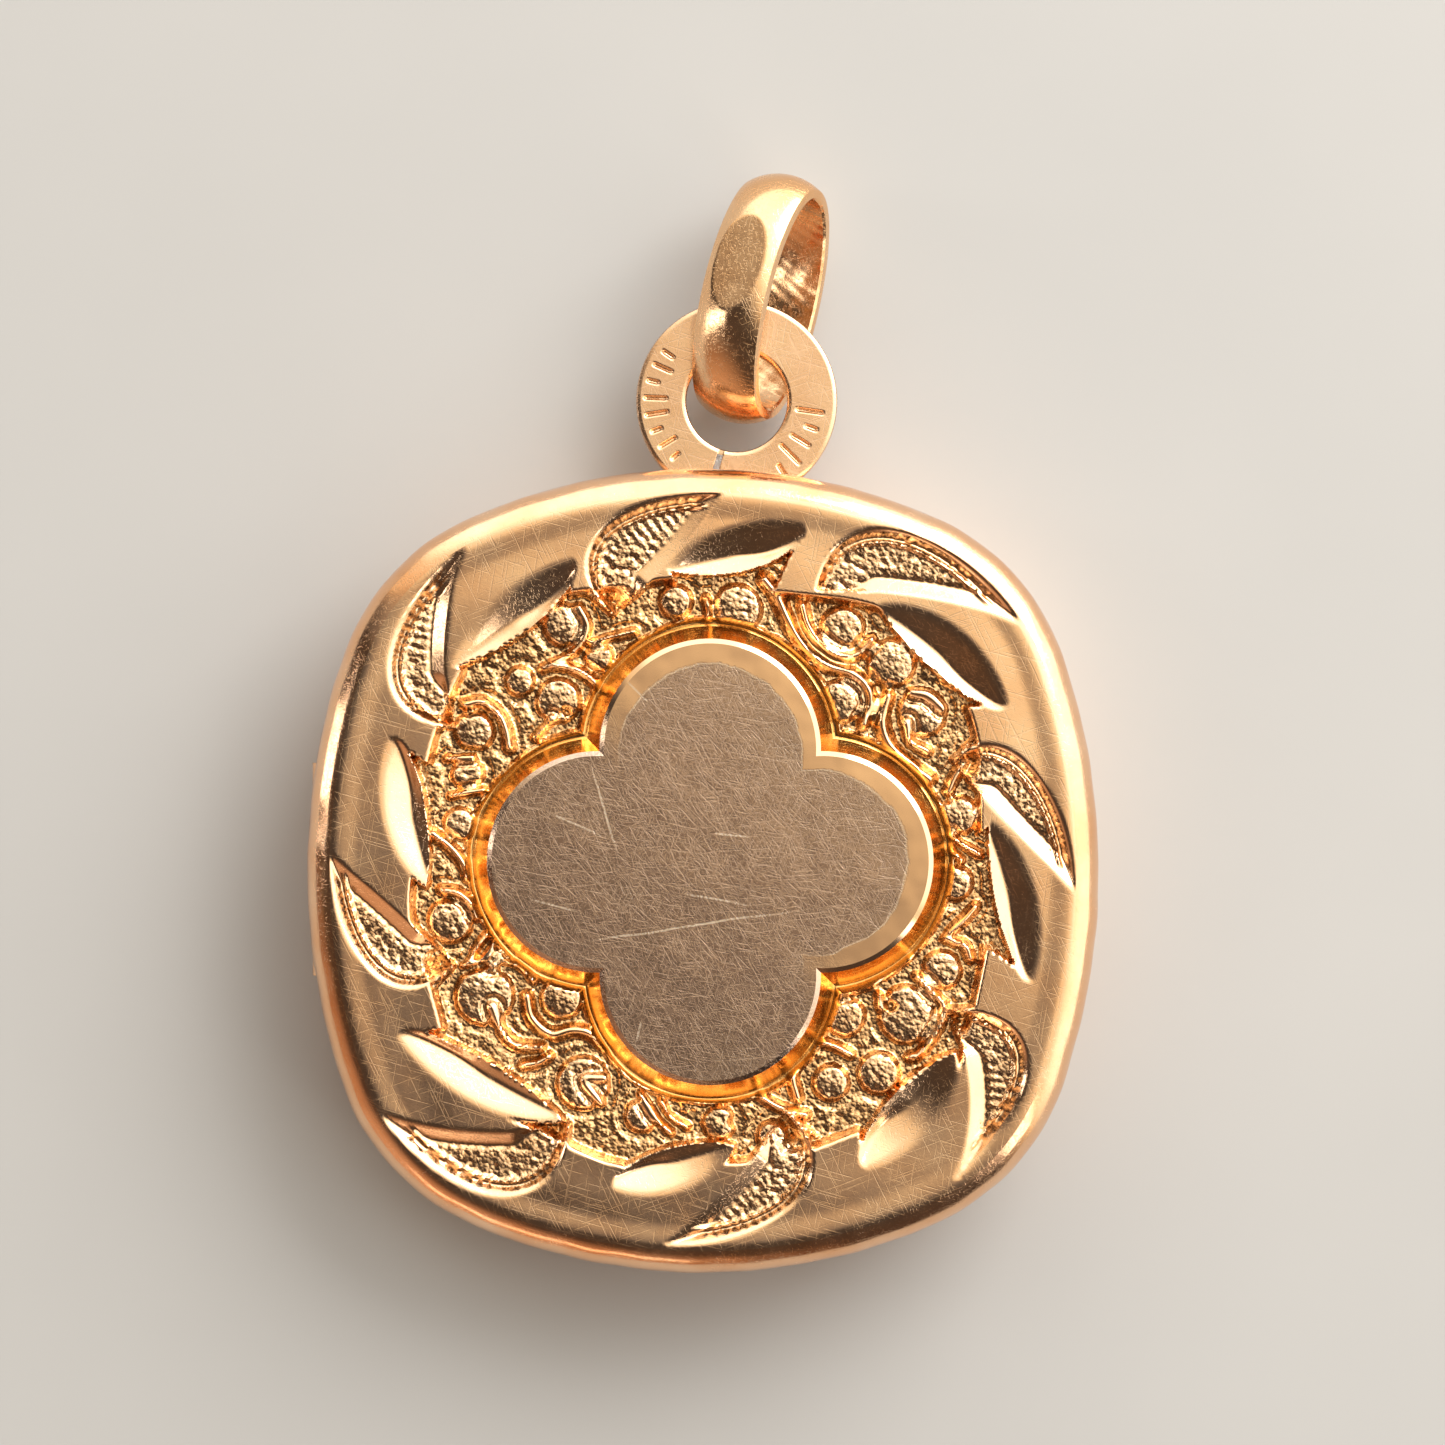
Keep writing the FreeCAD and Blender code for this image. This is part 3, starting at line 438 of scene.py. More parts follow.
# Crescent leaves, clockwise from the top: root, tip, bow of the outer and the inner edge.
CRESCENTS = (
    ((-2.50, 7.10), (0.46, 10.38), 1.80, -0.20),
    ((3.10, 7.75), (8.65, 6.93), 1.95, 0.25),
    ((6.90, 3.10), (10.22, -0.45), 1.40, -0.10),
    ((6.76, -3.80), (7.00, -8.37), 2.10, 0.50),
    ((2.30, -6.60), (-0.95, -10.22), 1.88, 0.20),
    ((-3.70, -7.00), (-8.84, -6.67), 2.00, 0.30),
    ((-6.90, -2.60), (-10.24, 0.42), 1.60, -0.10),
    ((-6.90, 4.00), (-6.60, 8.88), 1.85, 0.35),
)
# Smooth notched leaves between them, clockwise from the top.
NOTCHES = (
    ((-1.10, 8.35), (2.79, 9.62), 0.62, -0.80),
    ((4.76, 7.40), (8.50, 4.58), 0.88, -0.60),
    ((7.90, 1.45), (9.14, -3.10), 0.76, -0.50),
    ((7.00, -4.90), (4.50, -8.25), 0.85, -0.75),
    ((0.94, -7.50), (-2.48, -8.80), 0.75, -0.65),
    ((-3.74, -6.90), (-8.49, -4.52), 0.75, -0.60),
    ((-7.60, -0.50), (-8.70, 3.75), 0.75, -0.60),
    ((-6.95, 5.60), (-3.60, 8.70), 0.62, -0.75),
)
# Beaded bosses of the wreath: middle and radius.
BOSSES = (
    (0.95, 7.25, 0.72), (3.85, 6.68, 0.66), (5.18, 5.74, 0.72), (3.86, 4.72, 0.66),
    (6.06, 4.40, 0.72), (7.07, 1.55, 0.58), (6.60, -2.72, 0.58), (5.66, -3.95, 0.86),
    (3.92, -4.00, 0.60), (4.86, -5.57, 0.62), (3.54, -5.84, 0.54), (0.45, -6.95, 0.50),
    (-3.30, -5.85, 0.78), (-3.90, -3.50, 0.62), (-6.03, -3.44, 0.85), (-6.97, -1.35, 0.66),
    (-6.71, 1.30, 0.50), (-6.30, 3.90, 0.60), (-4.00, 4.72, 0.66), (-3.80, 6.80, 0.64),
    (-2.88, 5.93, 0.46), (-5.05, 5.25, 0.45), (-5.78, -2.40, 0.36), (-0.75, 7.45, 0.50),
    (-6.50, 2.70, 0.50), (6.95, -0.30, 0.55), (1.90, -7.30, 0.45), (-1.70, -6.75, 0.50),
)
# Raised stems and hooks of the wreath: half width, height over the ground, and places along it.
STEMS = (
    (0.24, 0.40, (1.70, 8.05), (2.05, 7.60), (2.35, 6.95), (2.80, 6.25), (3.40, 5.75), (4.05, 5.50),
     (4.50, 5.15), (4.66, 4.60), (4.45, 4.08)),
    (0.18, 0.44, (2.75, 7.35), (2.90, 6.80), (3.25, 6.30), (3.72, 5.98), (4.25, 5.98), (4.66, 6.40)),
    (0.15, 0.42, (5.75, 4.95), (6.20, 4.85), (6.60, 4.50)),
    (0.16, 0.46, (5.62, 4.10), (5.72, 3.60), (6.20, 3.32)),
    (0.24, 0.34, (5.12, 4.85), (4.95, 4.15), (5.15, 3.50), (5.65, 3.00), (6.25, 2.55)),
    (0.17, 0.40, (7.22, 3.05), (6.95, 2.60), (6.78, 2.20)),
    (0.12, 0.40, (6.45, 0.98), (6.80, 0.65), (7.15, 0.32)),
    (0.12, 0.38, (6.80, 1.00), (7.20, 0.72), (7.64, 0.47)),
    (0.18, 0.46, (-4.15, 5.70), (-3.56, 5.60), (-3.09, 5.33), (-2.76, 4.92)),
    (0.12, 0.36, (-3.10, 6.33), (-2.50, 6.48), (-1.90, 6.62)),
    (0.15, 0.36, (-3.42, 7.30), (-3.18, 6.78), (-3.42, 6.20), (-3.96, 5.82), (-4.43, 5.60)),
    (0.18, 0.48, (-6.55, 4.60), (-6.10, 4.68), (-5.66, 4.38), (-5.44, 3.95), (-5.34, 3.42)),
    (0.12, 0.36, (-7.05, 3.11), (-6.35, 3.16)),
    (0.12, 0.36, (-6.95, 2.10), (-6.05, 2.25)),
    (0.12, 0.40, (-4.16, 4.20), (-4.63, 3.70)),
    (0.18, 0.44, (-7.45, 1.05), (-6.98, 0.70), (-6.62, 0.25), (-6.48, -0.15)),
    (0.17, 0.44, (-7.20, -0.52), (-6.78, -0.58), (-6.40, -0.88), (-6.22, -1.25)),
    (0.13, 0.42, (-6.45, -2.50), (-6.20, -2.05), (-5.88, -1.68)),
    (0.10, 0.38, (-6.62, -2.60), (-6.05, -2.40), (-5.75, -1.95)),
    (0.11, 0.40, (-5.40, -2.50), (-5.05, -2.60), (-4.66, -3.03)),
    (0.20, 0.34, (-4.86, -3.45), (-4.72, -4.05), (-4.20, -4.50), (-3.66, -4.38), (-3.14, -4.46),
     (-2.66, -4.88)),
    (0.17, 0.46, (-5.80, -3.75), (-5.56, -4.38), (-5.15, -4.78), (-4.45, -4.86)),
    (0.14, 0.40, (-4.98, -5.35), (-4.55, -5.28), (-4.24, -5.10)),
    (0.12, 0.44, (-2.72, -5.70), (-3.28, -5.76), (-2.80, -6.40)),
    (0.12, 0.36, (-1.72, -6.15), (-1.35, -6.75), (-0.90, -7.20)),
    (0.10, 0.34, (-1.15, -6.35), (-0.85, -6.80), (-0.45, -7.05)),
    (0.15, 0.46, (1.62, -6.22), (2.10, -6.50), (2.85, -6.72)),
    (0.18, 0.36, (2.78, -5.05), (2.48, -5.60), (2.62, -6.25)),
    (0.14, 0.42, (2.85, -4.68), (3.48, -4.76), (4.10, -5.05)),
    (0.16, 0.42, (5.92, -2.90), (6.29, -3.29), (6.64, -3.70), (6.52, -4.29), (6.00, -5.00),
     (5.70, -5.12)),
    (0.13, 0.46, (4.86, -3.40), (4.90, -3.75)),
    (0.13, 0.40, (3.47, -3.44), (4.55, -3.17), (5.69, -2.37)),
    (0.16, 0.44, (6.70, -1.86), (7.23, -2.05), (7.38, -2.40)),
    (0.16, 0.40, (7.52, -0.98), (7.20, -1.35), (6.83, -1.68)),
    (0.14, 0.36, (0.10, 7.55), (0.15, 7.10), (0.05, 6.75)),
)
PITS = ((-0.79, -6.55, 0.24), (0.88, -6.90, 0.28), (-5.05, -2.95, 0.22), (-3.76, 4.40, 0.24),
        (5.22, -3.72, 0.22), (6.35, 2.30, 0.18), (-1.55, 7.15, 0.22), (-0.30, -6.75, 0.18))


class Leaf:
    """Leaf between two bowed edges that meet at its root and its tip."""

    def __init__(self, root, tip, bow, hollow, powers, inner_powers=(1.0, 1.0)):
        self.root = np.array(root)
        self.length = math.dist(root, tip)
        self.along = (np.array(tip) - self.root) / self.length
        outward = np.array([-self.along[1], self.along[0]])
        self.outward = outward
        self.bow = bow
        self.hollow = hollow
        self.powers = powers
        self.inner_powers = inner_powers

    def edge(self, place, bow, powers):
        """Height and slope of an edge over the chord, at a place from 0 to 1."""
        first, last = powers
        crown = first / (first + last)
        peak = crown ** first * (1 - crown) ** last
        height = bow * place ** first * (1 - place) ** last / peak
        slope = height * (first / place - last / (1 - place)) / self.length
        return height, slope

    def measure(self, x, y):
        """Place along the leaf, and distances inside its outer and its inner edge."""
        along = (x - self.root[0]) * self.along[0] + (y - self.root[1]) * self.along[1]
        across = (x - self.root[0]) * self.outward[0] + (y - self.root[1]) * self.outward[1]
        place = along / self.length
        inner_place = np.clip(place, 0.002, 0.998)
        top, top_slope = self.edge(inner_place, self.bow, self.powers)
        low, low_slope = self.edge(inner_place, self.hollow, self.inner_powers)
        outer = (top - across) / np.sqrt(1 + top_slope ** 2)
        inner = (across - low) / np.sqrt(1 + low_slope ** 2)
        beyond = np.maximum(-place, place - 1) * self.length
        outer = np.where(beyond > 0, np.minimum(outer, -beyond), outer)
        inner = np.where(beyond > 0, np.minimum(inner, -beyond), inner)
        return place, outer, inner


def bead_field(x, y, size, seed):
    """Rounded grains of about one size, scattered on a jittered grid: 0 to 1."""
    cells = 257
    jitter = np.random.default_rng(seed).random((cells, cells, 3))
    column, row = np.floor(x / size).astype(int), np.floor(y / size).astype(int)
    best = np.full(x.shape, 9.0)
    for step_x in (-1, 0, 1):
        for step_y in (-1, 0, 1):
            cell_x, cell_y = column + step_x, row + step_y
            shift = jitter[cell_x % cells, cell_y % cells]
            gap = np.hypot((cell_x + shift[..., 0]) * size - x, (cell_y + shift[..., 1]) * size - y)
            best = np.minimum(best, gap / (size * (0.62 + 0.3 * shift[..., 2])))
    return np.sqrt(np.clip(1 - best ** 2, 0.0, 1.0))


def rim_level(inset):
    """Height of the rounded shoulder outside the crest, and of the slope to the field inside."""
    lean = np.clip((RIM_CREST - inset) / RIM_CREST, 0.0, 1.0)
    shoulder = SHOULDER * (1 - np.sqrt(1 - lean ** 2))
    return RIM_TOP - shoulder - (RIM_TOP - FIELD) * smooth(inset, RIM_CREST, RIM_CREST + RIM_FALL)


def stem_distance(x, y, points):
    """Distance from a smooth curve through a stem's places."""
    points = np.array(points)
    padded = np.concatenate([[2 * points[0] - points[1]], points, [2 * points[-1] - points[-2]]])
    curve = [points[0]]
    for before, start, stop, after in zip(padded, padded[1:], padded[2:], padded[3:]):
        for step in (0.25, 0.5, 0.75, 1.0):
            bend = (2 * start + (stop - before) * step
                    + (2 * before - 5 * start + 4 * stop - after) * step ** 2
                    + (3 * start - before - 3 * stop + after) * step ** 3)
            curve.append(bend / 2)
    best = np.full(x.shape, 9.0)
    for start, stop in zip(curve, curve[1:]):
        run = stop - start
        share = np.clip(((x - start[0]) * run[0] + (y - start[1]) * run[1]) / (run @ run), 0.0, 1.0)
        best = np.minimum(best, np.hypot(x - start[0] - share * run[0], y - start[1] - share * run[1]))
    return best


def lobe_distance(x, y):
    """Distance outside the cartouche's quatrefoil."""
    gaps = [np.hypot(x - CARTOUCHE[0] - LOBE_OFFSET * step_x, y - CARTOUCHE[1] - LOBE_OFFSET * step_y)
            for step_x, step_y in ((1, 0), (0, 1), (-1, 0), (0, -1))]
    return np.minimum.reduce(gaps) - LOBE_RADIUS


def carve_wreath(x, y, level, beads):
    """Bosses, stems and pits between the cartouche and the leaves, and how beaded each place is."""
    beaded = np.ones_like(x)
    for middle_x, middle_y, radius in BOSSES:
        distance = np.hypot(x - middle_x, y - middle_y)
        crown = np.sqrt(np.clip(1 - (distance / radius) ** 2, 0.0, 1.0))
        dome = GROUND + BOSS_EDGE + BOSS_CROWN * crown + GRAIN_HEIGHT * beads
        cover = 1 - smooth(distance, radius - 0.14, radius + 0.02)
        level = level - 0.12 * hump(distance - radius - 0.10, 0.16)
        level = level * (1 - cover) + dome * cover
    for width, rise, *points in STEMS:
        near = np.hypot(x - points[0][0], y - points[0][1]) < 5.0
        distance = np.full(x.shape, 9.0)
        distance[near] = stem_distance(x[near], y[near], points)
        level = level - 0.10 * hump(distance - width - 0.10, 0.14)
        cover = hump(distance, width + 0.06)
        level = np.maximum(level, level * (1 - cover) + (GROUND + rise) * cover)
        beaded = beaded * (1 - smooth(cover, 0.1, 0.5))
    for middle_x, middle_y, radius in PITS:
        level = level - 0.30 * hump(np.hypot(x - middle_x, y - middle_y), radius)
    outside = lobe_distance(x, y)
    plain = 1 - smooth(outside, WALL_WIDTH + 0.02, WALL_WIDTH + 0.20)
    line = outside - WALL_WIDTH - 0.14 - 0.03 * np.sin(9 * np.arctan2(y, x))
    level = level * (1 - plain) + GROUND * plain
    level = np.maximum(level, GROUND + 0.17 * hump(line, 0.09))
    return np.maximum(level, PLATE_BASE + 0.02), beaded * (1 - plain)


def soft_minimum(first, second, blend):
    """Smaller of two, rounded where they meet."""
    share = np.clip(0.5 + 0.5 * (second - first) / blend, 0.0, 1.0)
    return first * share + second * (1 - share) - blend * share * (1 - share)


def carve_notch(leaf, x, y, level):
    """Smooth spoon-like hollow: a long face that sinks inwards and a short one that rises."""
    place, outer, inner = leaf.measure(x, y)
    outer, inner = np.maximum(outer, 0.0), np.maximum(inner, 0.0)
    curved = 0.36
    face = 0.50 * np.minimum(outer, curved) ** 2 + curved * np.maximum(outer - curved, 0.0)
    by_root = smooth(place, 0.72, 0.45)
    back = (0.85 - 0.40 * by_root) * inner + 0.05 * by_root * smooth(inner, 0.0, 0.05)
    cut = np.clip(soft_minimum(face, back, 0.08), 0.0, DEEPEST_NOTCH)
    return level - cut, smooth(np.minimum(outer, inner), 0.0, 0.06)


def carve_crescent(leaf, x, y, level, beads):
    """Sunk leaf with sloping walls, a fine ridge inside them and a ribbed, beaded floor."""
    place, outer, inner = leaf.measure(x, y)
    near_root = 1 - smooth(place, 0.25, 0.55)
    inside = np.minimum(outer * 1.7, inner + 0.5 * (1 - smooth(place, 0.12, 0.30)) * (inner > 0))
    cover = smooth(inside, -0.02, 0.05)
    wall = -0.62 * np.clip(inside, 0.0, 0.42)
    ribs = 0.5 + 0.5 * np.sin(TURN * (place * leaf.length / 0.24 + 0.35 * (outer - inner)))
    texture = 0.06 * (beads * (0.55 + 0.45 * near_root) + 0.6 * ribs * (1 - near_root))
    floor = smooth(inside, 0.36, 0.55) * (0.03 + texture)
    ridge = 0.12 * hump(outer - 0.36, 0.09) * smooth(inner, 0.1, 0.3)
    floor_cover = smooth(inside, 0.40, 0.55)
    return level + (wall + floor + ridge) * cover, cover, floor_cover


def leaf_clear(leaf, x, y):
    """1 over a leaf and its narrow smooth border, 0 outside and over its open root."""
    place, outer, inner = leaf.measure(x, y)
    closed = smooth(np.minimum(outer, inner), -0.10, 0.0)
    return closed * np.maximum(smooth(place, 0.02, 0.22), smooth(outer, 0.5, 0.1))


def chased_relief(x, y):
    """Level of the chased front at each point, and how hollow and how beaded it is."""
    inset = inset_of(x, y)
    beads = bead_field(x, y, 0.17, 3)
    big_beads = bead_field(x + 40.0, y + 40.0, 0.24, 5)
    heading = np.arctan2(y, x)
    waver = 0.12 * np.sin(5 * heading + 1.0) + 0.08 * np.sin(11 * heading)
    wreath = smooth(inset, WREATH_INSET - 0.10 + waver, WREATH_INSET + 0.10 + waver)
    sway = 0.010 * np.sin(3 * heading + 0.7) + 0.005 * np.sin(7 * heading + 2.0 * inset)
    field = rim_level(inset) + sway * smooth(inset, 1.2, 2.2)
    level = field
    notched = np.zeros_like(x)
    for root, tip, bow, hollow in NOTCHES:
        leaf = Leaf(root, tip, bow, hollow, (0.75, 0.85), (0.8, 0.5))
        level, cover = carve_notch(leaf, x, y, level)
        notched = np.maximum(notched, cover)
        place, _, inner = leaf.measure(x, y)
        reach = smooth(place, 0.03, 0.15) * smooth(place, 0.90, 0.55)
        beside = smooth(inner, 0.02, -0.02) * smooth(inner, -reach - 0.02, -reach + 0.05)
        beside = beside * smooth(reach, 0.0, 0.1)
        wreath = np.maximum(wreath, beside)
    wreath = wreath * (1 - notched)
    ground = GROUND + GRAIN_HEIGHT * beads + 0.025 * big_beads
    ground, beaded = carve_wreath(x, y, ground, beads)
    level = level * (1 - wreath) + ground * wreath
    beaded = beaded * wreath
    for root, tip, bow, hollow in CRESCENTS:
        leaf = Leaf(root, tip, bow, hollow, (0.45, 0.90))
        clear = leaf_clear(leaf, x, y)
        level = level * (1 - clear) + np.minimum(field, FIELD) * clear
        level, cover, floor_cover = carve_crescent(leaf, x, y, level, beads)
        beaded = beaded * (1 - cover) + floor_cover * cover
    # How sunk each place is; the chased gold paints a deeper orange bounce glow in proportion to it.
    hollow = smooth(FIELD - 0.16 - level, 0.0, 0.34) * (1 - 0.7 * notched)
    hollow = np.maximum(hollow, 0.45 * beaded)
    return level, hollow, beaded


def lobe_ring(angles, radius):
    """Quatrefoil whose lobes have a radius: where rays from its middle leave it."""
    fold = (angles + math.pi / 4) % (math.pi / 2) - math.pi / 4
    reach = LOBE_OFFSET * np.cos(fold) + np.sqrt(radius ** 2 - (LOBE_OFFSET * np.sin(fold)) ** 2)
    return CARTOUCHE[0] + reach * np.cos(angles), CARTOUCHE[1] + reach * np.sin(angles)


def make_chased_front():
    """Relief from the cartouche's wall out to the rim, closed by a skirt and a back."""
    columns, rows = 940, 102
    angles = np.linspace(0, TURN, columns, endpoint=False)
    inner = np.stack(lobe_ring(angles, LOBE_RADIUS + WALL_WIDTH - 0.04))
    outer = np.stack(ray_to_inset(angles, PLATE_INSET, CARTOUCHE))
    steps = np.linspace(0, 1, rows)[:, None]
    x = inner[0] * (1 - steps) + outer[0] * steps
    y = inner[1] * (1 - steps) + outer[1] * steps
    level, hollow, beaded = chased_relief(x, y)
    top = np.stack([x, y, level], axis=-1).reshape(-1, 3)
    edge_low = np.stack([outer[0], outer[1], np.full(columns, PLATE_BASE)], axis=-1)
    well_low = np.stack([inner[0], inner[1], np.full(columns, PLATE_BASE)], axis=-1)
    vertices = np.concatenate([well_low, top, edge_low])
    faces = grid_faces(rows + 2, columns, close_rows=True)
    pad = np.zeros(columns)
    values = {
        "hollow": np.concatenate([pad, hollow.ravel(), pad]),
        "beaded": np.concatenate([pad, beaded.ravel(), pad]),
    }
    return make_piece("chased_front", vertices, faces, "cover", MATERIALS["chased"],
                      ("front_plate",), 70.0, values)


def make_cartouche():
    """Flat quatrefoil with a bright bevel, partly a painted sheen on its lit side, and a sloping wall."""
    columns = 480
    angles = np.linspace(0, TURN, columns, endpoint=False)
    shares = (0.08, 0.2, 0.32, 0.44, 0.56, 0.66, 0.75, 0.83, 0.90, 0.96)
    bevel = 0.13
    bevel_drop = 0.07
    rings = []
    edge = []
    for share in shares:
        full_x, full_y = lobe_ring(angles, LOBE_RADIUS - bevel)
        x = CARTOUCHE[0] + (full_x - CARTOUCHE[0]) * share
        y = CARTOUCHE[1] + (full_y - CARTOUCHE[1]) * share
        rings.append((x, y, np.full(columns, CARTOUCHE_TOP)))
        edge.append(np.hypot(full_x - x, full_y - y))
    wall = [(-bevel, 0.0), (0.0, bevel_drop)]
    drop = CARTOUCHE_TOP - GROUND - bevel_drop
    for share in (0.15, 0.35, 0.6, 0.85, 1.0):
        wall.append((WALL_WIDTH * share, bevel_drop + drop * (1 - (1 - share) ** 1.5)))
    wall.append((WALL_WIDTH, CARTOUCHE_TOP - PLATE_BASE))
    for grow, down in wall:
        x, y = lobe_ring(angles, LOBE_RADIUS + grow)
        rings.append((x, y, np.full(columns, CARTOUCHE_TOP - down)))
        edge.append(np.zeros(columns))
    points = np.stack([np.stack(ring, axis=-1) for ring in rings]).reshape(-1, 3)
    hubs = np.array([[*CARTOUCHE, CARTOUCHE_TOP], [*CARTOUCHE, PLATE_BASE]])
    vertices = np.concatenate([points, hubs])
    count = len(rings)
    faces = grid_faces(count, columns)
    faces = [face[::-1] for face in faces]
    faces += fan(list(range(columns)), count * columns)
    faces += fan(list(range((count - 1) * columns, count * columns)), count * columns + 1, flip=True)
    spread = vertices[:, :2] - np.array(CARTOUCHE)
    # Side that faces the key light; the cartouche gold paints its sheen and highlight line only there.
    lit_side = smooth(spread @ np.array([0.75, 0.66]), -0.6, 1.4)
    edge = np.concatenate([np.concatenate(edge), [4.0, 0.0]])
    values = {"edge": edge / 1.2, "lit_side": lit_side}
    piece = make_piece("cartouche", vertices, faces, "cover", MATERIALS["cartouche"],
                       (), 12.0, values)
    # Its sloping wall takes the orange wall gold, a painted bounce glow.
    piece.data.materials.append(MATERIALS["wall"])
    middle_count = (len(shares) + 1) * columns
    on_wall = [face_index >= middle_count and face_index < (count - 1) * columns
               for face_index in range(len(faces))]
    piece.data.polygons.foreach_set("material_index", [int(flag) for flag in on_wall])
    return piece


# ---------------------------------------------------------------- swept walls

RECESS_RADIUS = 0.5     # round recess in both walls for the hinge's knuckles
RECESS_LENGTH = 6.08


def hinge_recess(points, radius, length):
    """Pushes points that lie in the round recess along the hinge out to its surface."""
    pin_low, pin_high = node_box("hinge_pin")
    axis_x = (pin_low[0] + pin_high[0]) / 2
    axis_z = (pin_low[2] + pin_high[2]) / 2
    off_x = points[..., 0] - axis_x
    off_z = points[..., 2] - axis_z
    distance = np.maximum(np.hypot(off_x, off_z), 1e-6)
    inside = (distance < radius) & (np.abs(points[..., 1]) < length / 2)
    push = np.where(inside, radius / distance, 1.0)
    points[..., 0] = axis_x + off_x * push
    points[..., 2] = axis_z + off_z * push
    return points


def sweep_outline(profile, columns=720):
    """Grid of points: pairs of inset and height carried round the case's outline."""
    angles = np.linspace(0, TURN, columns, endpoint=False) + TURN / (2 * columns)
    x, y = ray_to_inset(angles, 0.0)
    centre_x, centre_y, radius = nearest_arc(x, y)
    normal_x = (x - centre_x) / radius
    normal_y = (y - centre_y) / radius
    rows = [np.stack([x - inset * normal_x, y - inset * normal_y, np.full(columns, height)], axis=-1)
            for inset, height in profile]
    return np.stack(rows)


def swept_wall(name, profile, body, material, replaces, dents=0.0):
    """Closed wall round the case, with slight dents and the hinge's recess."""
    grid = sweep_outline(profile)
    rows, columns = grid.shape[:2]
    if dents:
        angle = np.arctan2(grid[..., 1], grid[..., 0])
        wave = sum(np.sin(count * angle + phase) for count, phase in ((13, 0.4), (29, 2.0), (47, 4.1)))
        height = grid[..., 2]
        bare = smooth(height, RIM_LOW[2] + 1.0, RIM_LOW[2] + 1.3)
        bare = bare * smooth(height, RIM_TOP, RIM_TOP - 0.2)
        grid[..., :2] *= 1 - (dents * (3 + wave) * bare / HALF_WIDTH)[..., None]
    grid = hinge_recess(grid, RECESS_RADIUS, RECESS_LENGTH)
    faces = grid_faces(rows, columns, close_rows=True)
    return make_piece(name, grid.reshape(-1, 3), faces, body, material, replaces)


def make_rim():
    """Rim of the cover: rounded underneath, with a rounded shoulder up to the chased front."""
    low = RIM_LOW[2]
    under = 1.05
    seam = math.degrees(math.acos((PLATE_INSET - RIM_CREST) / RIM_CREST))
    profile = [(RIM_INNER, low)]
    profile += arc((under, low + under), (under, under), 270, 180, 14)
    profile += arc((RIM_CREST, RIM_TOP - SHOULDER), (RIM_CREST, SHOULDER), 180, seam, 26)
    profile += [(PLATE_INSET, PLATE_BASE), (RIM_INNER, PLATE_BASE)]
    profile = profile[::-1]
    return swept_wall("rolled_rim", profile, "cover", MATERIALS["rose"],
                      ("front_frame",), dents=0.006)


def make_case_wall():
    """Side wall of the back half, rounded below and at its lip."""
    top = BACK_HIGH[2]
    foot = 0.7
    lip = 0.4
    inner = FLANGE_INSET
    profile = [(inner, 0.0)]
    profile += arc((BACK_INSET + foot, foot), (foot, foot), 270, 180, 12)
    profile += arc((BACK_INSET + lip, top - lip), (lip, lip), 180, 90, 10)
    profile += [(inner, top)]
    profile = profile[::-1]
    return swept_wall("case_wall", profile, "case", MATERIALS["rose"], ("back_frame",))


# ---------------------------------------------------------------- ring and bail

RING = (0.94, 13.15)
RING_OUTER = 2.83
RING_HOLE = 1.42
RING_SEAM = math.radians(253)


def ring_reach(angles):
    """Outer edge of the ring, cut where it meets the back half's wall."""
    wall = END_RADIUS - BACK_INSET
    off_x = RING[0]
    off_y = RING[1] - (HALF_HEIGHT - END_RADIUS)
    along = off_x * np.cos(angles) + off_y * np.sin(angles)
    inside = along ** 2 - (off_x ** 2 + off_y ** 2 - wall ** 2)
    meets = np.where(inside > 0, -along - np.sqrt(np.maximum(inside, 0.0)), RING_OUTER)
    meets = np.where(meets > 0, meets, RING_OUTER)
    return np.minimum(RING_OUTER, meets)


# Plain radial punch strokes on the ring: angle, inner and outer radius.
PUNCH_STROKES = (
    (146, 2.10, 2.55), (156, 1.95, 2.60), (167, 2.20, 2.62), (178, 1.92, 2.64), (189, 1.92, 2.64),
    (200, 2.20, 2.60), (211, 1.95, 2.58), (222, 2.15, 2.50), (-8, 1.65, 2.50), (-20, 2.00, 2.45),
    (-32, 1.75, 2.45), (-45, 1.70, 2.55), (-57, 2.10, 2.55),
)


def punch_depth(x, y):
    """Depth of the punch strokes at points given from the ring's middle."""
    depth = np.zeros_like(x)
    for angle, near, far in PUNCH_STROKES:
        heading = math.radians(angle)
        along = x * math.cos(heading) + y * math.sin(heading)
        across = y * math.cos(heading) - x * math.sin(heading)
        ends = smooth(along, near, near + 0.1) * smooth(along, far, far - 0.1)
        depth = np.maximum(depth, hump(across, 0.09) * ends)
    return depth


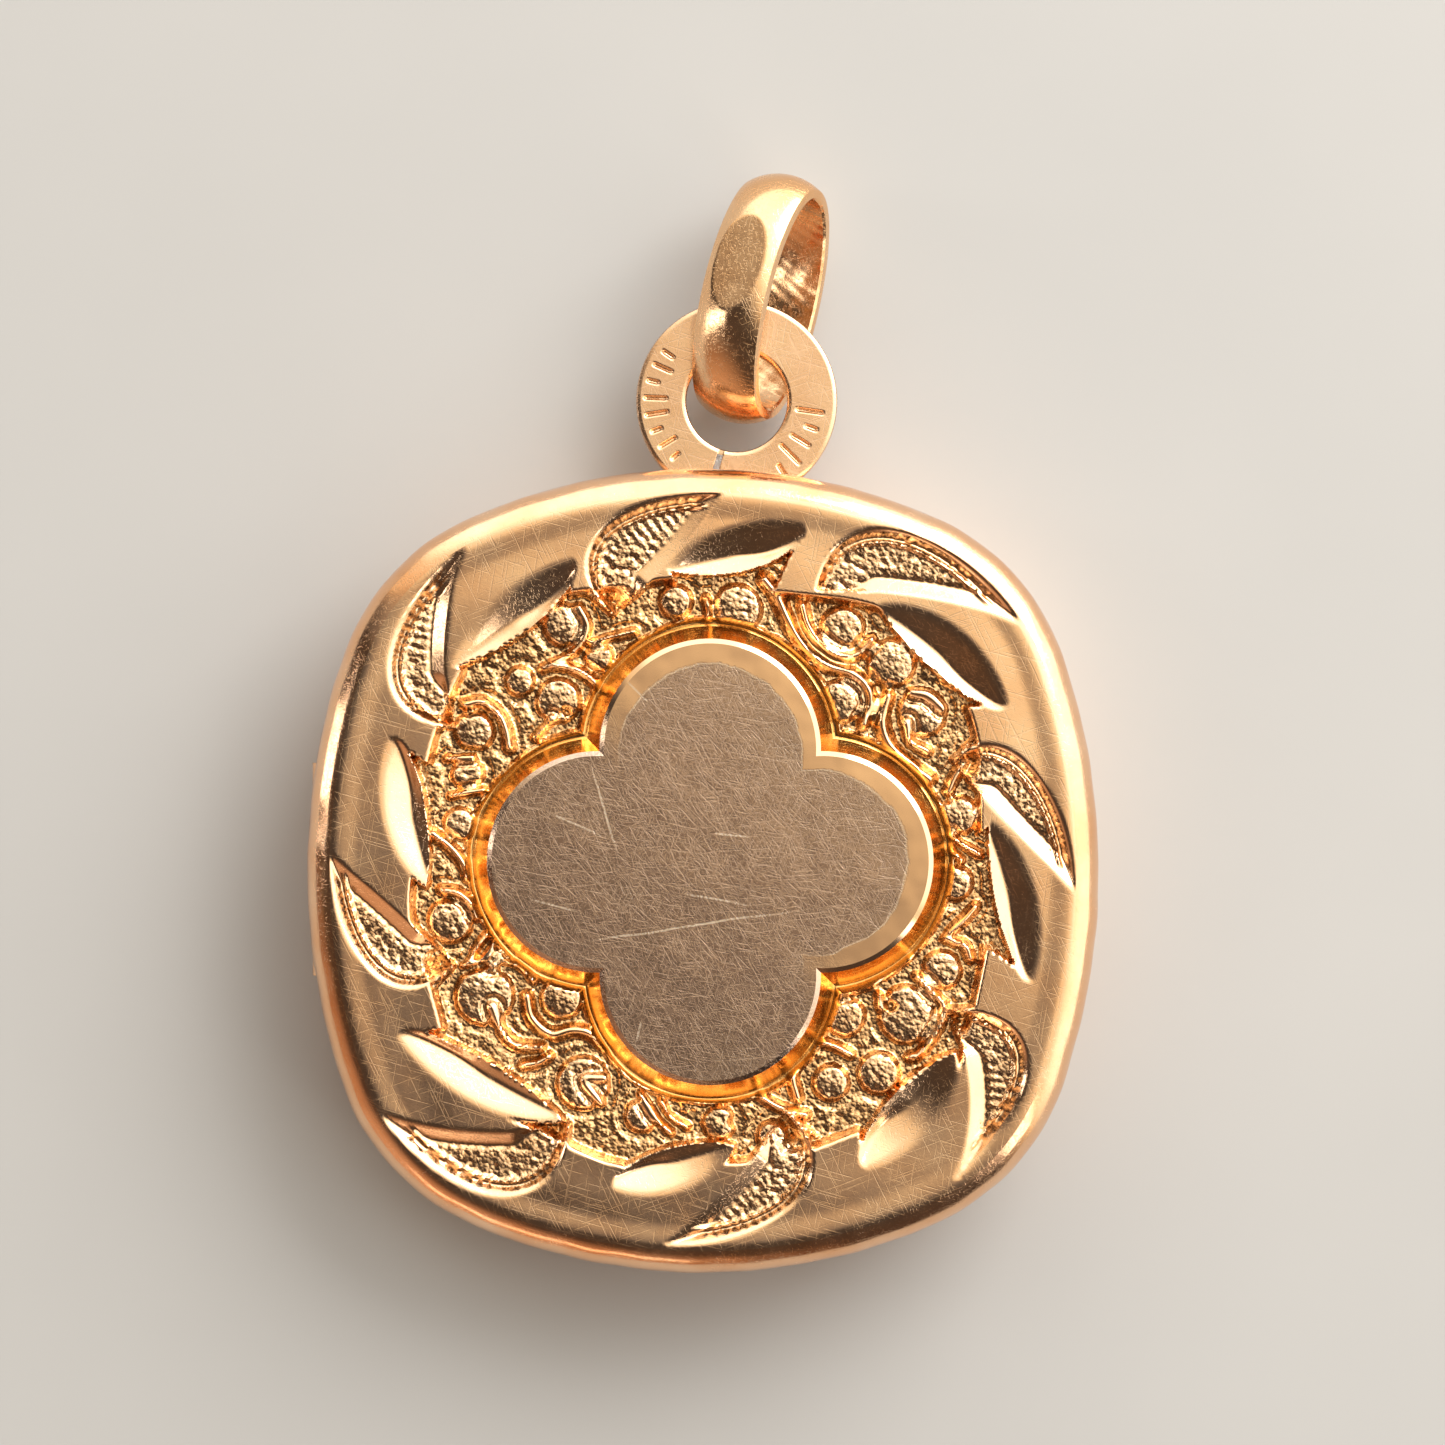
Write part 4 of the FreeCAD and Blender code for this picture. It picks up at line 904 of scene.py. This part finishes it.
def make_ring():
    """Flat washer with bevelled edges, punched strokes, a seam and a cut foot."""
    low, high = node_box("hanging_ring")
    columns = 800
    bevel = 0.11
    angles = np.linspace(0, TURN, columns, endpoint=False)
    reach = ring_reach(angles)
    rings = []
    for share in np.linspace(0, 1, 42):
        radius = (RING_HOLE + bevel) * (1 - share) + (reach - bevel) * share
        x, y = radius * np.cos(angles), radius * np.sin(angles)
        across = y * math.cos(RING_SEAM) - x * math.sin(RING_SEAM)
        along = x * math.cos(RING_SEAM) + y * math.sin(RING_SEAM)
        groove = (1 - smooth(np.abs(across), 0.06, 0.10)) * smooth(along, 0.5, 1.0)
        rings.append((radius, high[2] - 0.07 * punch_depth(x, y) - 0.03 * groove))
    top = high[2]
    outside = [(reach - 0.03, top - 0.035), (reach, top - bevel), (reach, low[2] + bevel),
               (reach - bevel, low[2])]
    inside = [(RING_HOLE + bevel, low[2]), (RING_HOLE, low[2] + bevel), (RING_HOLE, top - bevel),
              (RING_HOLE + 0.03, top - 0.035)]
    rings += outside + inside
    rows = [np.stack([RING[0] + radius * np.cos(angles), RING[1] + radius * np.sin(angles),
                      np.zeros(columns) + height], axis=-1) for radius, height in rings]
    faces = [face[::-1] for face in grid_faces(len(rows), columns, close_rows=True)]
    return make_piece("punched_ring", np.concatenate(rows), faces, "case",
                      MATERIALS["ring"], ("hanging_ring",), 35.0)


BAIL_LEAN = math.radians(13.4)
BAIL_ROLL = math.radians(26.0)
BAIL_REACH = 2.98
BAIL_INNER = (2.98, 1.45)   # half axes of the loop's inside
BAIL_HALF_BAND = 1.0
BAIL_EDGE = 0.3             # thickness of the band at its edges
BAIL_CROWN = 0.3            # rise of its dome
BAIL_EASE = 0.06            # eased inner edges of the band
BAIL_FLAT_CUT = 0.13        # depth of the flat filed on its front
BAIL_FLAT_TILT = math.radians(6.5)


def bail_frame():
    """Turn and place of the bail: band across local X, long axis along local Y."""
    low, high = node_box("hanging_ring")
    middle = Vector((RING[0] + BAIL_REACH * math.sin(BAIL_LEAN),
                     RING[1] + BAIL_REACH * math.cos(BAIL_LEAN), (low[2] + high[2]) / 2))
    turn = Matrix.Rotation(-BAIL_LEAN, 3, "Z") @ Matrix.Rotation(-BAIL_ROLL, 3, "Y")
    return np.array(turn), np.array(middle)


def make_bail():
    """Oval loop of half-round band, filed to a flat on its front, with eased edges."""
    columns = 360
    around = np.linspace(0, TURN, columns, endpoint=False)
    long_half, short_half = BAIL_INNER
    path_y = long_half * np.cos(around)
    path_z = short_half * np.sin(around)
    out_y = np.cos(around) / long_half
    out_z = np.sin(around) / short_half
    size = np.hypot(out_y, out_z)
    out_y, out_z = out_y / size, out_z / size
    band = BAIL_HALF_BAND
    dome = (band ** 2 + BAIL_CROWN ** 2) / (2 * BAIL_CROWN)
    section = [(-band + BAIL_EASE, 0.0), (-band, 0.07), (-band, BAIL_EDGE - 0.05)]
    for share in np.linspace(-0.985, 0.985, 33):
        across = band * share
        section.append((across, BAIL_EDGE + BAIL_CROWN - dome + math.sqrt(dome ** 2 - across ** 2)))
    section += [(band, BAIL_EDGE - 0.05), (band, 0.07), (band - BAIL_EASE, 0.0)]
    for across in np.linspace(band - BAIL_EASE, -band + BAIL_EASE, 12)[1:-1]:
        section.append((across, 0.0))
    flat_level = short_half + BAIL_EDGE + BAIL_CROWN - BAIL_FLAT_CUT
    flat_y, flat_z = math.sin(BAIL_FLAT_TILT), math.cos(BAIL_FLAT_TILT)
    rows = []
    for across, height in section:
        y = path_y + height * out_y
        z = path_z + height * out_z
        if height > BAIL_EDGE - 0.06:
            over = np.maximum(y * flat_y + z * flat_z - flat_level, 0.0)
            y = y - over * flat_y
            z = z - over * flat_z
        rough = 0.0
        if height < 0.05:
            rough = 0.01 + 0.01 * np.sin(17 * around + 9 * across) * np.sin(31 * around)
        rows.append(np.stack([np.full(columns, across), y + rough * out_y, z + rough * out_z], axis=-1))
    turn, middle = bail_frame()
    points = np.concatenate(rows) @ turn.T + middle
    faces = grid_faces(len(rows), columns, close_rows=True)
    return make_piece("half_round_bail", points, faces, "bail", MATERIALS["bail"],
                      ("bail",), 30.0)


# ---------------------------------------------------------------- carried-over CAD nodes

def dress_cad_nodes():
    """Gives every CAD node that stays visible its detailed material."""
    finishes = {
        "rose": ("back_plate", "back_knuckle_bottom", "back_knuckle_middle", "back_knuckle_top",
                 "front_knuckle_bottom", "front_knuckle_top", "hinge_pin", "thumb_lip"),
        "gilt": ("closing_flange", "snap_bead", "front_picture_frame", "back_picture_frame"),
        "grey_solder": ("ring_seam_solder",),
        "gold_solder": ("ring_foot_solder",),
        "glass": ("front_glass", "back_glass"),
        "card": ("front_picture_card", "back_picture_card"),
        "pad": ("back_filler",),
    }
    for finish, nodes in finishes.items():
        for name in nodes:
            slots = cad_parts[name].data.materials
            for index in range(len(slots)):
                slots[index] = MATERIALS[finish]
            if len(slots) == 0:
                slots.append(MATERIALS[finish])


# ---------------------------------------------------------------- stage, light and camera

def make_floor():
    """Plain pale table under the locket."""
    material, graph = new_material("pale_floor")
    tone = graph.noise(graph.place(), 0.08, 3.0)
    colour = graph.mix(tone, (0.40, 0.395, 0.385), (0.44, 0.435, 0.425))
    shader = graph.add("ShaderNodeBsdfPrincipled", {"Base Color": colour, "Roughness": 0.75})
    finish_material(graph, shader)
    mesh = bpy.data.meshes.new("floor")
    half = 0.6
    corners = [(-half, -half, 0), (half, -half, 0), (half, half, 0), (-half, half, 0)]
    mesh.from_pydata(corners, [], [(0, 1, 2, 3)])
    mesh.materials.append(material)
    floor = bpy.data.objects.new("floor", mesh)
    bpy.context.scene.collection.objects.link(floor)


def area_light(name, place, size, radiance, colour):
    """Soft box of a given brightness that faces the locket."""
    light = bpy.data.lights.new(name, "AREA")
    light.shape = "RECTANGLE"
    light.size, light.size_y = size
    light.energy = radiance * math.pi * size[0] * size[1]
    light.color = colour
    box = bpy.data.objects.new(name, light)
    box.location = place
    box.rotation_euler = (Vector((0, 0.002, 0.003)) - Vector(place)).to_track_quat("-Z", "Y").to_euler()
    bpy.context.scene.collection.objects.link(box)


def make_light():
    """Room that is dim overhead and towards the lower left, and bright towards the upper right."""
    world = bpy.data.worlds.new("studio")
    bpy.context.scene.world = world
    world.use_nodes = True
    graph = Graph(world.node_tree)
    direction = graph.add("ShaderNodeTexCoord").outputs["Generated"]
    dot = graph.add("ShaderNodeVectorMath", {0: direction, 1: (0.62, 0.78, 0.0)}, operation="DOT_PRODUCT")
    lean = graph.math("ADD", graph.math("MULTIPLY", dot.outputs["Value"], 0.5), 0.5)
    tone = graph.ramp(lean, (
        (0.00, (0.75, 0.44, 0.27)), (0.10, (0.48, 0.27, 0.16)), (0.20, (0.09, 0.06, 0.045)),
        (0.41, (0.06, 0.05, 0.047)), (0.445, (0.17, 0.15, 0.14)), (0.465, (0.31, 0.26, 0.23)),
        (0.488, (0.43, 0.35, 0.27)), (0.503, (0.78, 0.64, 0.46)), (0.520, (1.12, 0.94, 0.66)),
        (0.57, (1.10, 0.98, 0.76)), (0.62, (1.85, 1.75, 1.55)), (0.70, (2.1, 2.08, 2.0)),
        (1.00, (2.1, 2.08, 2.0))))
    background = graph.add("ShaderNodeBackground", {"Color": tone, "Strength": 1.0})
    graph.add("ShaderNodeOutputWorld", {"Surface": background.outputs[0]})
    area_light("key_box", (0.13, 0.15, 0.13), (0.17, 0.17), 7.0, (1.0, 0.98, 0.95))
    area_light("left_strip", (-0.20, 0.03, 0.07), (0.03, 0.16), 4.0, (1.0, 0.93, 0.86))
    area_light("right_strip", (0.14, -0.11, 0.14), (0.03, 0.14), 3.0, (1.0, 0.95, 0.90))
    area_light("low_warm", (-0.08, -0.20, 0.06), (0.16, 0.04), 1.2, (1.0, 0.78, 0.58))


def make_camera():
    """Looks straight down from about a hand's breadth, as the photograph does."""
    width_seen = 0.04003
    level = 0.004
    distance = 0.110
    camera = bpy.data.cameras.new("camera")
    camera.sensor_width = 36.0
    camera.lens = camera.sensor_width * distance / width_seen
    camera.clip_start = 0.001
    view = bpy.data.objects.new("camera", camera)
    view.location = (0.00054, 0.00411, level + distance)
    bpy.context.scene.collection.objects.link(view)
    bpy.context.scene.camera = view


make_camera()
make_light()
make_floor()
make_chased_front()
make_cartouche()
make_rim()
make_case_wall()
make_ring()
make_bail()
dress_cad_nodes()
bpy.context.scene.view_settings.view_transform = "Standard"

bpy.context.view_layer.update()
